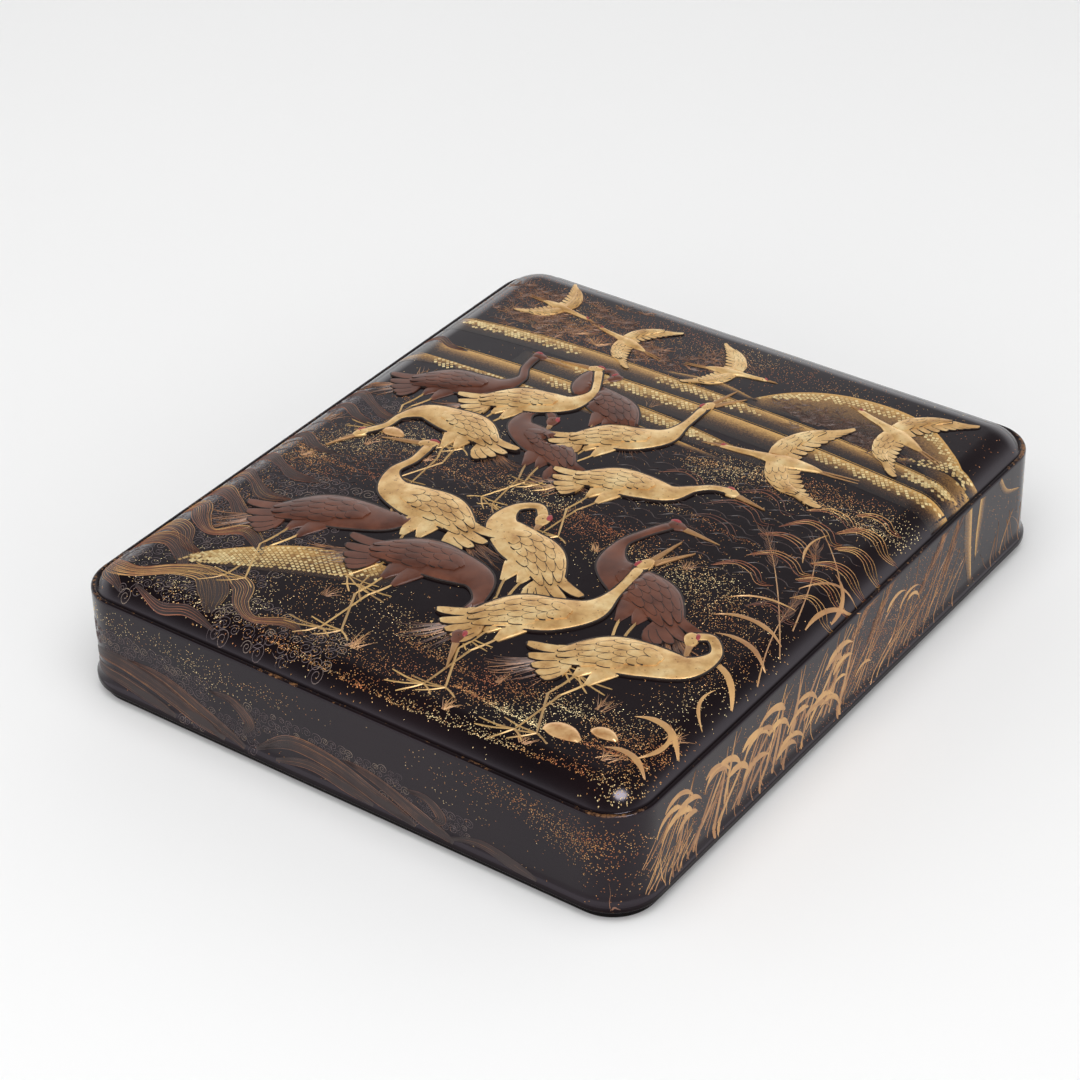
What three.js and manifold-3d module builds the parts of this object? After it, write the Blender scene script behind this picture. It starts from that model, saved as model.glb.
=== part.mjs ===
// A lacquer writing box: a shallow tray under an overhanging lid. The lid has rounded corners, upright
// walls with a flared lip, a bead and groove round the foot of a domed top, and cranes in low relief.
// Units are millimetres. +X runs along the front edge, +Y to the back and +Z up.
// The origin is the middle of the underside.
import * as THREE from "three";
import { mergeVertices } from "three/addons/utils/BufferGeometryUtils.js";
import Module from "manifold-3d";

const wasm = await Module();
wasm.setup();

// Plan of the lid's walls
const lidWidth = 210;
const lidDepth = 244;
const cornerRadius = 15.5;

// Tray
const footHeight = 3.1; // band of the tray that shows below the lid
const footInset = 0.9; // how far that band stands back from the lid's walls
const footEdge = 0.5; // its rounded edges
const footRecess = 1; // hollow of the underside
const footRim = 7; // width of the flat rim round that hollow
const trayFloor = 3.2;
const trayWall = 3.2;
const trayRise = 21; // the tray's walls above its foot band
const trayEdge = 0.7; // rounding of those walls' top edges
const trayFillet = 1.5; // between the tray's walls and its floor

// Lid
const seatGap = 0.3; // between the foot band and the lid's lip
const lidClearance = 0.6; // between the tray's walls and the lid's walls, all round
const lidWall = 4;
const lidPlate = 4;
const wallHeight = 34.6; // from the lip's underside to the bead
const lipFlare = 1.3;
const lipEdge = 0.5;
const lipBand = 1.9; // upright face of the lip
const lipSweep = 3.6; // height of the hollow curve from the lip into the wall
const beadRadius = 0.7; // rounded edge at the top of the walls
const ledgeWidth = 0.7; // flat between the bead and the groove
const grooveDepth = 0.35;
const grooveWidth = 0.7;
const shoulderRadius = 13;
const shoulderStart = 58; // steepness of the dome where it leaves the groove, in degrees
const crownRise = 2.4; // further rise from the shoulders to the middle of the top

// Figures in relief
const nearCrane = 42; // body of a crane of the near flock, breast to rump
const farCrane = 35; // body of a crane of the far flock
const flyingCrane = 22; // body of a crane in flight
const reliefHeight = 0.6; // of a figure above the dome
const layerStep = 0.3; // more for a figure that stands in front of another
const wingStep = 0.3; // more for a folded wing on its body
const reliefRoot = 0.9; // how deep a figure is let into the dome
const waveLength = 58;
const waveWidth = 5;
const reedLength = 62;
const reedWidth = 1.6;
const rockLength = 9;

const finestDetail = 0.03; // edges and steps below this are merged where figures meet

const cornerSteps = 5; // of each quarter round of the plan
const sideSteps = 4; // along each straight side

const degrees = Math.PI / 180;
const lidBase = footHeight + seatGap;
const ridge = lidBase + wallHeight;
const floorTop = footRecess + trayFloor;
const trayTop = footHeight + trayRise;
const trayFace = lidWall + lidClearance; // from the lid's outer face to the tray's outer face
const domeEdge = beadRadius + ledgeWidth + grooveWidth; // from the lid's outer face to the dome's foot
const domeFoot = ridge - grooveDepth;
const shoulderRun = shoulderRadius * Math.sin(shoulderStart * degrees);

// The plan's outline moved in by inset, anticlockwise from above, at a height that may vary over the plan.
function ring(inset, height) {
  const radius = Math.max(cornerRadius - inset, 0.5);
  const x = lidWidth / 2 - inset - radius;
  const y = lidDepth / 2 - inset - radius;
  const corners = [[x, -y], [x, y], [-x, y], [-x, -y]];
  const points = corners.flatMap(([cx, cy], corner) => {
    const steps = Array.from({ length: cornerSteps + 1 }, (_, i) => corner - 1 + i / cornerSteps);
    return steps.map((quarter) => {
      const angle = (quarter * Math.PI) / 2;
      return new THREE.Vector3(cx + radius * Math.cos(angle), cy + radius * Math.sin(angle), 0);
    });
  });
  const full = points.flatMap((point, i) => {
    const isCornerEnd = i % (cornerSteps + 1) === cornerSteps;
    const next = points[(i + 1) % points.length];
    const between = isCornerEnd ? sideSteps : 1;
    return Array.from({ length: between }, (_, k) => point.clone().lerp(next, k / between));
  });
  return level(full, height);
}

// The same points at a height, which is a number or a function of x and y.
function level(points, height) {
  const at = typeof height === "function" ? height : () => height;
  return points.map(({ x, y }) => new THREE.Vector3(x, y, at(x, y)));
}

// Points drawn in towards the middle by a share of their distance from it.
function shrink(points, share, height) {
  return level(points.map((point) => point.clone().multiplyScalar(share)), height);
}

// Height of the domed top: a round shoulder from the groove, then a slight crown.
function dome(x, y) {
  const dx = Math.abs(x) - lidWidth / 2 + cornerRadius;
  const dy = Math.abs(y) - lidDepth / 2 + cornerRadius;
  const outside = Math.hypot(Math.max(dx, 0), Math.max(dy, 0)) + Math.min(Math.max(dx, dy), 0);
  const run = THREE.MathUtils.clamp(cornerRadius - outside - domeEdge, 0, shoulderRun);
  const slope = Math.asin(Math.sin(shoulderStart * degrees) - run / shoulderRadius);
  const rise = shoulderRadius * (Math.cos(slope) - Math.cos(shoulderStart * degrees));
  const across = 1 - (x / (lidWidth / 2 - domeEdge)) ** 2;
  const along = 1 - (y / (lidDepth / 2 - domeEdge)) ** 2;
  return domeFoot + rise + crownRise * Math.max(across, 0) * Math.max(along, 0);
}

function ceiling(x, y) {
  return dome(x, y) - lidPlate;
}

// A closed solid through a stack of rings, with a fan to the middle of the first and of the last ring.
function loft(rings, firstHeight, lastHeight) {
  const count = rings[0].length;
  const points = [...rings.flat(), new THREE.Vector3(0, 0, firstHeight), new THREE.Vector3(0, 0, lastHeight)];
  const lastRing = (rings.length - 1) * count;
  const index = [];
  for (let i = 0; i < count; i++) {
    const next = (i + 1) % count;
    for (let start = 0; start < lastRing; start += count) {
      index.push(start + i, start + next, start + count + next);
      index.push(start + i, start + count + next, start + count + i);
    }
    index.push(next, i, points.length - 2);
    index.push(lastRing + i, lastRing + next, points.length - 1);
  }
  const geometry = new THREE.BufferGeometry().setFromPoints(points);
  geometry.setIndex(index);
  return geometry;
}

// A closed geometry as a solid that can be joined and cut.
function solid(geometry) {
  const bare = geometry.clone();
  bare.deleteAttribute("normal");
  bare.deleteAttribute("uv");
  const merged = mergeVertices(bare);
  const vertProperties = new Float32Array(merged.getAttribute("position").array);
  const triVerts = new Uint32Array(merged.index.array);
  return new wasm.Manifold(new wasm.Mesh({ numProp: 3, vertProperties, triVerts }));
}

function geometryOf(body) {
  const { vertProperties, triVerts } = body.getMesh();
  const geometry = new THREE.BufferGeometry();
  geometry.setAttribute("position", new THREE.BufferAttribute(vertProperties, 3));
  geometry.setIndex(new THREE.BufferAttribute(triVerts, 1));
  return geometry;
}

function meshOf(body, name, material) {
  const geometry = geometryOf(body);
  geometry.computeVertexNormals();
  const mesh = new THREE.Mesh(geometry, material);
  mesh.name = name;
  return mesh;
}

// Tray: under the foot band, up its outside, over the walls' rounded tops, down inside and over the floor.
function tray() {
  const outer = trayFace;
  const inner = trayFace + trayWall;
  return loft([
    ring(footInset + footRim, footRecess),
    ring(footInset + footRim, 0),
    ring(footInset + footEdge, 0),
    ring(footInset, footEdge),
    ring(footInset, footHeight - footEdge),
    ring(footInset + footEdge, footHeight),
    ring(outer, footHeight),
    ring(outer, trayTop - trayEdge),
    ring(outer + trayEdge, trayTop),
    ring(inner - trayEdge, trayTop),
    ring(inner, trayTop - trayEdge),
    ring(inner, floorTop + trayFillet),
    ring(inner + trayFillet, floorTop),
  ], footRecess, floorTop);
}

// Lid's shell: from the middle of its ceiling down the inside, round the lip, up the wall and over the dome.
function lidShell() {
  const ceilingEdge = ring(domeEdge + shoulderRun, ceiling);
  const lip = [1, 2, 3].map((step) => {
    const up = step / 3;
    return ring(-lipFlare * (1 - up) ** 2, lidBase + lipBand + lipSweep * up);
  });
  const bead = [0, 45, 90].map((angle) => {
    const inset = beadRadius * (1 - Math.cos(angle * degrees));
    return ring(inset, ridge - beadRadius * (1 - Math.sin(angle * degrees)));
  });
  const shoulder = [0, 0.16, 0.36, 0.62, 1].map((share) => ring(domeEdge + share * shoulderRun, dome));
  const shoulderTop = shoulder[shoulder.length - 1];
  return loft([
    shrink(ceilingEdge, 0.45, ceiling),
    ceilingEdge,
    ring(domeEdge + shoulderRun / 2, ceiling),
    ring(lidWall, ceiling),
    ring(lidWall, lidBase),
    ring(lipEdge - lipFlare, lidBase),
    ring(-lipFlare, lidBase + lipEdge),
    ring(-lipFlare, lidBase + lipBand),
    ...lip,
    ...bead,
    ring(beadRadius + ledgeWidth, ridge),
    ...shoulder,
    shrink(shoulderTop, 0.7, dome),
    shrink(shoulderTop, 0.35, dome),
  ], ceiling(0, 0), dome(0, 0));
}

// Outline of a ribbon: half widths, evenly spaced, on both sides of a smooth line through a few points.
function ribbon(line, halfWidths, steps) {
  const curve = new THREE.SplineCurve(line.map(([x, y]) => new THREE.Vector2(x, y)));
  const sides = [[], []];
  for (let step = 0; step <= steps; step++) {
    const share = step / steps;
    const place = share * (halfWidths.length - 1);
    const before = Math.min(Math.floor(place), halfWidths.length - 2);
    const half = THREE.MathUtils.lerp(halfWidths[before], halfWidths[before + 1], place - before);
    const centre = curve.getPoint(share);
    const along = curve.getTangent(share);
    const across = new THREE.Vector2(-along.y, along.x).multiplyScalar(half);
    sides[0].push(centre.clone().add(across));
    sides[1].unshift(centre.clone().sub(across));
  }
  return sides.flat();
}

// A flat plate with a given outline, from reliefRoot below zero to lift above it.
function plate(points, lift) {
  const outline = new THREE.Shape(points);
  const geometry = new THREE.ExtrudeGeometry(outline, { depth: reliefRoot + lift, bevelEnabled: false });
  geometry.translate(0, 0, -reliefRoot);
  return solid(geometry);
}

// Lays flat plates over the dome, so that zero comes on its surface.
function drape(plates) {
  const geometry = geometryOf(plates);
  const position = geometry.getAttribute("position");
  for (let i = 0; i < position.count; i++) {
    position.setZ(i, position.getZ(i) + dome(position.getX(i), position.getY(i)));
  }
  return solid(geometry);
}

// Moves a figure's points from shares of its length, y up, to their place on the top.
// Places are shares of the lid's half width and half depth. Facing is 1 to the right and -1 to the left.
function placer({ at, length, facing = 1, tilt = 0 }) {
  const middle = new THREE.Vector2((at[0] * lidWidth) / 2, (at[1] * lidDepth) / 2);
  return (points) => points.map((point) => {
    const turned = point.clone().rotateAround(new THREE.Vector2(), tilt * degrees);
    turned.x *= facing;
    return turned.multiplyScalar(length).add(middle);
  });
}

// Necks and bills of the standing cranes, as shares of the body's length. Each bill starts at the head.
const neckPoses = {
  alert: { neck: [[0.14, 0], [0.38, 0.12], [0.5, 0.34], [0.43, 0.56], [0.42, 0.82]], bills: [[0.44, -0.06]] },
  calling: { neck: [[0.14, 0], [0.38, 0.16], [0.5, 0.42], [0.6, 0.82]], bills: [[0.2, 0.4], [0.34, 0.28]] },
  feeding: { neck: [[0.14, 0], [0.44, 0.04], [0.62, -0.14], [0.66, -0.36], [0.8, -0.56]], bills: [[0.2, -0.36]] },
  preening: { neck: [[0.14, 0], [0.4, 0.12], [0.48, 0.34], [0.36, 0.48], [0.22, 0.4]], bills: [[-0.16, -0.36]] },
  resting: { neck: [[0.14, 0], [0.44, 0.08], [0.58, 0.3], [0.48, 0.48], [0.34, 0.44]], bills: [[0.08, -0.42]] },
  striding: { neck: [[0.14, 0], [0.42, 0.08], [0.58, 0.26], [0.72, 0.38], [0.88, 0.42]], bills: [[0.44, -0.08]] },
  looking: { neck: [[0.14, 0], [0.38, 0.12], [0.5, 0.36], [0.46, 0.58], [0.36, 0.84]], bills: [[-0.44, 0.02]] },
};

// A head and bill as one outline, from the end of the neck.
function headAndBill(neckEnd, bill) {
  const tip = new THREE.Vector2(...bill);
  const direction = tip.clone().normalize();
  const places = [direction.clone().multiplyScalar(-0.05), direction.clone().multiplyScalar(0.05),
    direction.clone().multiplyScalar(0.13), tip];
  const line = places.map((place) => [neckEnd[0] + place.x, neckEnd[1] + place.y]);
  return ribbon(line, [0.03, 0.068, 0.03, 0.005], 3);
}

// A standing crane: legs, plume, body with neck and head, and a folded wing that stands higher.
function standingCrane({ pose, layer = 0, ...placing }) {
  const place = placer(placing);
  const upright = placer({ ...placing, tilt: 0 });
  const lift = reliefHeight + layer * layerStep;
  const { neck, bills } = neckPoses[pose];
  const body = ribbon([[0.4, -0.03], [0.26, 0.04], [0.02, 0.03], [-0.24, -0.05], [-0.5, -0.18]],
    [0.07, 0.18, 0.22, 0.18, 0.05], 6);
  const throat = ribbon(neck, [0.18, 0.13, 0.06, 0.045, 0.045], 6);
  const plume = ribbon([[-0.3, -0.06], [-0.54, -0.2], [-0.62, -0.46]], [0.12, 0.1, 0.02], 2);
  const wing = ribbon([[0.24, 0.02], [0, 0.03], [-0.3, -0.1], [-0.68, -0.36]], [0.06, 0.16, 0.14, 0.03], 5);
  const heads = bills.map((bill) => headAndBill(neck[neck.length - 1], bill));
  const legs = [-0.02, -0.14].map((hip, i) =>
    ribbon([[hip, -0.14], [hip - 0.08, -0.46], [hip + 0.12 * i, -0.92]], [0.06, 0.016, 0.016], 2));
  return [
    ...legs.map((leg) => plate(upright(leg), lift - layerStep)),
    plate(place(plume), lift),
    plate(place(body), lift),
    plate(place(throat), lift),
    ...heads.map((head) => plate(place(head), lift)),
    plate(place(wing), lift + wingStep),
  ];
}

// A crane in flight: an outstretched body, neck and legs, and two raised wings.
function flyingBird(placing) {
  const place = placer({ length: flyingCrane, ...placing });
  const body = ribbon([[0.92, 0.08], [0.6, 0.05], [0.3, 0.04], [0, 0], [-0.32, -0.03], [-0.8, -0.08]],
    [0.006, 0.045, 0.05, 0.13, 0.07, 0.012], 6);
  const farWing = ribbon([[0.12, 0.04], [0.08, 0.34], [-0.08, 0.62], [-0.34, 0.84]], [0.13, 0.17, 0.14, 0.02], 4);
  const nearWing = ribbon([[0.1, -0.02], [0, -0.28], [-0.16, -0.5], [-0.44, -0.62]], [0.13, 0.16, 0.12, 0.02], 4);
  return [plate(place(body), reliefHeight), plate(place(farWing), reliefHeight),
    plate(place(nearWing), reliefHeight + wingStep)];
}

// Birds further forward stand on higher layers. They keep to the gentle part of the top.
const nearFlock = [
  { at: [-0.52, -0.42], facing: 1, tilt: 8, pose: "resting", layer: 0 },
  { at: [-0.31, -0.27], facing: -1, tilt: -8, pose: "alert", layer: 1 },
  { at: [-0.12, -0.46], facing: 1, tilt: -6, pose: "feeding", layer: 2 },
  { at: [0.08, -0.29], facing: -1, tilt: 10, pose: "preening", layer: 0 },
  { at: [0.29, -0.5], facing: 1, tilt: 18, pose: "calling", layer: 2 },
  { at: [0.47, -0.27], facing: -1, tilt: 6, pose: "looking", layer: 0 },
  { at: [0.62, -0.52], facing: 1, tilt: 10, pose: "resting", layer: 1 },
];
const farFlock = [
  { at: [-0.66, 0.28], facing: 1, tilt: 6, pose: "alert", layer: 0 },
  { at: [-0.5, 0.1], facing: -1, tilt: -4, pose: "feeding", layer: 2 },
  { at: [-0.4, 0.3], facing: 1, tilt: 10, pose: "looking", layer: 1 },
  { at: [-0.22, 0.14], facing: -1, tilt: 6, pose: "preening", layer: 0 },
  { at: [-0.18, 0.4], facing: -1, tilt: 12, pose: "resting", layer: 0 },
  { at: [-0.03, 0.28], facing: 1, tilt: 16, pose: "calling", layer: 1 },
  { at: [0.13, 0.1], facing: 1, tilt: 2, pose: "striding", layer: 2 },
];
const inFlight = [
  { at: [-0.66, 0.74], tilt: -12 },
  { at: [-0.33, 0.66], facing: -1, tilt: 8 },
  { at: [0.04, 0.73], tilt: 6 },
  { at: [0.45, 0.43], facing: -1, tilt: -14, length: flyingCrane * 1.4 },
  { at: [0.64, 0.72], facing: -1, tilt: 14, length: flyingCrane * 1.2 },
];
const waves = [
  { at: [-0.57, -0.16], tilt: 8 },
  { at: [-0.57, -0.62], tilt: -10 },
  { at: [-0.5, -0.76], tilt: 4 },
  { at: [-0.14, -0.82], tilt: -6 },
  { at: [0.56, 0.14], tilt: -20, length: waveLength * 0.7 },
];
const reeds = [
  { at: [0.76, -0.04], tilt: 110, bend: 0.1 },
  { at: [0.7, 0.06], tilt: 84, bend: -0.16 },
  { at: [0.74, -0.14], tilt: 66, bend: 0.16 },
];
const rocks = [
  { at: [0.66, -0.84], length: rockLength * 1.4 },
  { at: [0.76, -0.79], length: rockLength },
  { at: [-0.66, -0.03], length: rockLength },
];

function wave(placing) {
  const crest = ribbon([[-0.5, -0.1], [-0.2, 0.05], [0.1, 0.03], [0.34, -0.06], [0.5, 0.04]],
    [0.1, 1, 0.9, 0.8, 0.1].map((share) => (share * waveWidth) / (2 * waveLength)), 6);
  return plate(placer({ length: waveLength, ...placing })(crest), reliefHeight);
}

// A reed is a thin blade, widest near its root, that bends to one side.
function reed({ bend, ...placing }) {
  const blade = ribbon([[-0.5, 0], [0, bend / 2], [0.5, -bend]],
    [0.6, 1, 0.7, 0.2].map((share) => (share * reedWidth) / (2 * reedLength)), 4);
  return plate(placer({ length: reedLength, ...placing })(blade), reliefHeight - layerStep);
}

// A low boulder: a half moon with a flat foot.
function rock(placing) {
  const outline = ribbon([[-0.5, 0], [0, 0.08], [0.5, 0]], [0.06, 0.24, 0.26, 0.22, 0.05], 4);
  return plate(placer(placing)(outline), reliefHeight + layerStep);
}

function relief() {
  const figures = [
    ...waves.map(wave),
    ...reeds.map(reed),
    ...rocks.map(rock),
    ...farFlock.flatMap((bird) => standingCrane({ length: farCrane, ...bird })),
    ...nearFlock.flatMap((bird) => standingCrane({ length: nearCrane, ...bird })),
    ...inFlight.flatMap(flyingBird),
  ];
  const cover = plate(ring(domeEdge, 0), shoulderRadius);
  const joined = figures.reduce((all, figure) => all.add(figure)).intersect(cover);
  return drape(joined.simplify(finestDetail));
}

const trayLacquer = new THREE.MeshStandardMaterial({ color: 0x1b1716, roughness: 0.25, metalness: 0 });
const lidLacquer = new THREE.MeshStandardMaterial({ color: 0x2a2122, roughness: 0.2, metalness: 0 });

const box = new THREE.Group();
box.add(meshOf(solid(tray()), "tray", trayLacquer));
box.add(meshOf(solid(lidShell()).add(relief()).simplify(finestDetail), "lid", lidLacquer));

export default box;
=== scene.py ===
# A lacquer writing box: black lid with a domed top, gold and brown cranes in relief, gold dust and
# combed waves, over a plain black tray. Lengths are in millimetres until a mesh is made.
import math

import bpy
import numpy as np
from mathutils import Matrix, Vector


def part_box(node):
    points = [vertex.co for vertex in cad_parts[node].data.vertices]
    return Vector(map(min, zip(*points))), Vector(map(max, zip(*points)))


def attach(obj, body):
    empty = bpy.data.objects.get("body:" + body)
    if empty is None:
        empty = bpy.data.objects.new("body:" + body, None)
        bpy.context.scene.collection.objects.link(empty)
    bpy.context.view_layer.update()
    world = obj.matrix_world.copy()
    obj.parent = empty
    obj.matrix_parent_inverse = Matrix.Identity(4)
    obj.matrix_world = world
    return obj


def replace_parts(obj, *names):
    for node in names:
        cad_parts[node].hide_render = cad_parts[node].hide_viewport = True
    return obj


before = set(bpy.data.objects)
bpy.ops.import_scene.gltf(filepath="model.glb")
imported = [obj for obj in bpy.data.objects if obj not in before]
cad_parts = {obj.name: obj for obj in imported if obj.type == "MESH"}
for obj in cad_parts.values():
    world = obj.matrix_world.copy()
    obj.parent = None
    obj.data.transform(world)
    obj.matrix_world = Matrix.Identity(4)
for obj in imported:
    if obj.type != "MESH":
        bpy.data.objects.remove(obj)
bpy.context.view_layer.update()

mm = 0.001
rng = np.random.default_rng(11)

lidLow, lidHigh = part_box("lid")
trayLow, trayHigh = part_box("tray")

lid = {
    "cornerRadius": 15.5,
    "lipFlare": 1.3,
    "lipEdge": 0.5,
    "lipBand": 1.9,
    "lipSweep": 3.6,
    "wallHeight": 34.6,
    "wall": 4.0,
    "plate": 4.0,
    "beadRadius": 0.7,
    "ledgeWidth": 0.7,
    "grooveWidth": 0.7,
    "grooveDepth": 0.35,
    "shoulderRadius": 13.0,
    "shoulderStart": 58.0,
    "crownRise": 2.4,
    "innerRound": (0.4, 1.6),
    "crownRings": 34,
    "shoulderRings": 30,
    "ceilingRings": 12,
    "wallRings": 10,
}
halfWidth = lidHigh.x / mm - lid["lipFlare"]
halfDepth = lidHigh.y / mm - lid["lipFlare"]
lidBase = lidLow.z / mm
ridge = lidBase + lid["wallHeight"]
domeEdge = lid["beadRadius"] + lid["ledgeWidth"] + lid["grooveWidth"]
domeFoot = ridge - lid["grooveDepth"]
startSine = math.sin(math.radians(lid["shoulderStart"]))
startCosine = math.cos(math.radians(lid["shoulderStart"]))
shoulderRun = lid["shoulderRadius"] * startSine


# Shapes of the lid

def insetOf(x, y):
    # Distance inside the wall's face: corner radius less the distance from the rounded rectangle's core
    dx = np.abs(x) - halfWidth + lid["cornerRadius"]
    dy = np.abs(y) - halfDepth + lid["cornerRadius"]
    outside = np.hypot(np.maximum(dx, 0), np.maximum(dy, 0)) + np.minimum(np.maximum(dx, dy), 0)
    return lid["cornerRadius"] - outside


def dome(x, y):
    # Height of the top: a circular shoulder that starts steep, plus a crown that is a product of parabolas
    run = np.clip(insetOf(x, y) - domeEdge, 0, shoulderRun)
    slope = np.arcsin(startSine - run / lid["shoulderRadius"])
    rise = lid["shoulderRadius"] * (np.cos(slope) - startCosine)
    across = np.maximum(1 - (x / (halfWidth - domeEdge)) ** 2, 0)
    along = np.maximum(1 - (y / (halfDepth - domeEdge)) ** 2, 0)
    return domeFoot + rise + lid["crownRise"] * across * along


def flareAt(z):
    # How far the wall's face stands out at height z: full at the lip, then a parabola down to nothing
    up = np.clip((z - lidBase - lid["lipBand"]) / lid["lipSweep"], 0, 1)
    return lid["lipFlare"] * (1 - up) ** 2


def onTop(x, y, height):
    # A place on the lid's top: the dome's height at x and y, and a height over that
    return np.stack([x, y, dome(x, y) + height], axis=-1)


def onWall(side):
    # A wall seen from outside: along runs anticlockwise from its middle, and it bends round the corners.
    # side is 0 for the front, 1 for the right, 2 for the back and 3 for the left.
    reach, away = (halfWidth, halfDepth) if side % 2 == 0 else (halfDepth, halfWidth)
    straight = reach - lid["cornerRadius"]
    turn = math.radians(90 * side)

    def sheet(along, z, height):
        past = np.clip((np.abs(along) - straight) / lid["cornerRadius"], 0, math.pi / 2)
        radius = lid["cornerRadius"] + flareAt(z) + height
        x = np.sign(along) * (np.minimum(np.abs(along), straight) + radius * np.sin(past))
        y = -(away - lid["cornerRadius"]) - radius * np.cos(past)
        turned = x * math.cos(turn) - y * math.sin(turn), x * math.sin(turn) + y * math.cos(turn)
        return np.stack([*turned, z], axis=-1)

    return sheet


# Curves and ribbons

def curveAt(points, share):
    # Catmull-Rom curve through the points: place and direction at each share of the way, 0 to 1
    p = np.asarray(points, float)
    p = np.concatenate([2 * p[:1] - p[1:2], p, 2 * p[-1:] - p[-2:-1]])
    place = np.clip(share, 0, 1) * (len(p) - 3)
    i = np.minimum(place.astype(int), len(p) - 4)
    f = (place - i)[..., None]
    a, b, c, d = p[i], p[i + 1], p[i + 2], p[i + 3]
    at = 0.5 * (2 * b + (c - a) * f + (2 * a - 5 * b + 4 * c - d) * f ** 2 + (3 * b - a - 3 * c + d) * f ** 3)
    along = 0.5 * ((c - a) + 2 * (2 * a - 5 * b + 4 * c - d) * f + 3 * (3 * b - a - 3 * c + d) * f ** 2)
    return at, along / (np.linalg.norm(along, axis=-1, keepdims=True) + 1e-9)


def halfWidthAt(widths, s):
    # Half width of a ribbon at each share of its way, smooth through the widths listed and never quite
    # nothing
    return np.maximum(curveAt(np.asarray(widths, float)[:, None], s)[0][..., 0], 0.002)


def sidewaysOf(along):
    # A direction turned left by a right angle
    return np.stack([-along[..., 1], along[..., 0]], axis=-1)


def ribbonAt(line, widths, s, t):
    # Point of a ribbon: its centre line at s, moved across by t half widths
    at, along = curveAt(line, s)
    return at + sidewaysOf(along) * (t * halfWidthAt(widths, s))[..., None]


# Meshes

def gridPart(flat, height, sheet, kind=0, tone=0.0):
    # Closed strips from grids: rows run along a strip, columns across it, and the last column joins the
    # first underneath. flat is (strips, rows, columns, 2), height is (strips, rows, columns).
    strips, rows, columns = height.shape
    kinds = np.broadcast_to(np.asarray(kind), (strips, rows - 1, columns))
    tones = np.broadcast_to(np.asarray(tone, float), height.shape)
    a = flat[:, 1:, :-1] - flat[:, :-1, :-1]
    b = flat[:, :-1, 1:] - flat[:, :-1, :-1]
    mirrored = (a[..., 0] * b[..., 1] - a[..., 1] * b[..., 0]).sum(axis=(1, 2)) < 0
    flat = np.where(mirrored[:, None, None, None], flat[:, :, ::-1], flat)
    height = np.where(mirrored[:, None, None], height[:, :, ::-1], height)
    tones = np.where(mirrored[:, None, None], tones[:, :, ::-1], tones)
    swapped = np.concatenate([kinds[:, :, -2::-1], kinds[:, :, -1:]], axis=2)
    kinds = np.where(mirrored[:, None, None], swapped, kinds)
    index = np.arange(height.size).reshape(height.shape)
    beside = np.roll(index, -1, axis=2)
    quads = np.stack([index[:, :-1], index[:, 1:], beside[:, 1:], beside[:, :-1]], axis=-1).reshape(-1, 4)
    caps = np.concatenate([index[:, 0], index[:, -1, ::-1]])
    return {
        "points": sheet(flat[..., 0], flat[..., 1], height).reshape(-1, 3),
        "quads": quads,
        "quadKinds": kinds.reshape(-1),
        "caps": caps,
        "capKinds": np.concatenate([kinds[:, 0, 0], kinds[:, -1, 0]]),
        "tones": tones.reshape(-1),
    }


def makePiece(name, parts, materials, sharp=50):
    # One mesh from several parts: points with a tone each, and four-sided faces and end caps with a
    # material each
    starts = np.cumsum([0] + [len(part["points"]) for part in parts])
    points = np.concatenate([part["points"] for part in parts])
    corners = [(part["quads"] + start).reshape(-1) for part, start in zip(parts, starts)]
    sizes = [np.full(len(part["quads"]), 4) for part in parts]
    kinds = [part["quadKinds"] for part in parts]
    for part, start in zip(parts, starts):
        if len(part["caps"]):
            corners.append((part["caps"] + start).reshape(-1))
            sizes.append(np.full(len(part["caps"]), part["caps"].shape[1]))
            kinds.append(part["capKinds"])
    corners, sizes, kinds = np.concatenate(corners), np.concatenate(sizes), np.concatenate(kinds)
    mesh = bpy.data.meshes.new(name)
    mesh.vertices.add(len(points))
    mesh.vertices.foreach_set("co", (points * mm).astype(np.float32).ravel())
    mesh.loops.add(len(corners))
    mesh.loops.foreach_set("vertex_index", corners.astype(np.int32))
    mesh.polygons.add(len(sizes))
    mesh.polygons.foreach_set("loop_start", (np.cumsum(sizes) - sizes).astype(np.int32))
    for material in materials:
        mesh.materials.append(bpy.data.materials[material])
    mesh.polygons.foreach_set("material_index", kinds.astype(np.int32))
    mesh.polygons.foreach_set("use_smooth", np.ones(len(sizes), bool))
    tone = mesh.attributes.new("tone", "FLOAT", "POINT")
    tone.data.foreach_set("value", np.concatenate([part["tones"] for part in parts]).astype(np.float32))
    mesh.update(calc_edges=True)
    mesh.set_sharp_from_angle(angle=math.radians(sharp))
    piece = bpy.data.objects.new(name, mesh)
    bpy.context.scene.collection.objects.link(piece)
    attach(piece, "root")
    print(f"{name}: {len(points)} points, {int((sizes - 2).sum())} triangles")
    return piece


# Materials

def colour(text):
    # Linear colour from an sRGB hex value
    value = np.array([int(text[i:i + 2], 16) for i in (1, 3, 5)]) / 255
    linear = np.where(value <= 0.04045, value / 12.92, ((value + 0.055) / 1.055) ** 2.4)
    return (*linear.tolist(), 1.0)


def addNode(tree, kind, settings=None, links=None, output=0):
    # Adds a node, sets its properties and sockets, links its inputs, and gives one of its outputs. A hex
    # value becomes a linear colour, and stops are the places and the colours or values along a ramp.
    node = tree.nodes.new("ShaderNode" + kind)
    for key, value in (settings or {}).items():
        if key == "stops":
            for _ in value[2:]:
                node.color_ramp.elements.new(0.5)
            for element, (where, tone) in zip(node.color_ramp.elements, value):
                element.position = where
                element.color = colour(tone) if isinstance(tone, str) else (tone, tone, tone, 1)
        elif isinstance(key, str) and hasattr(node, key):
            setattr(node, key, value)
        else:
            node.inputs[key].default_value = value
    for key, source in (links or {}).items():
        tree.links.new(source, node.inputs[key])
    return node.outputs[output]


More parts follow.
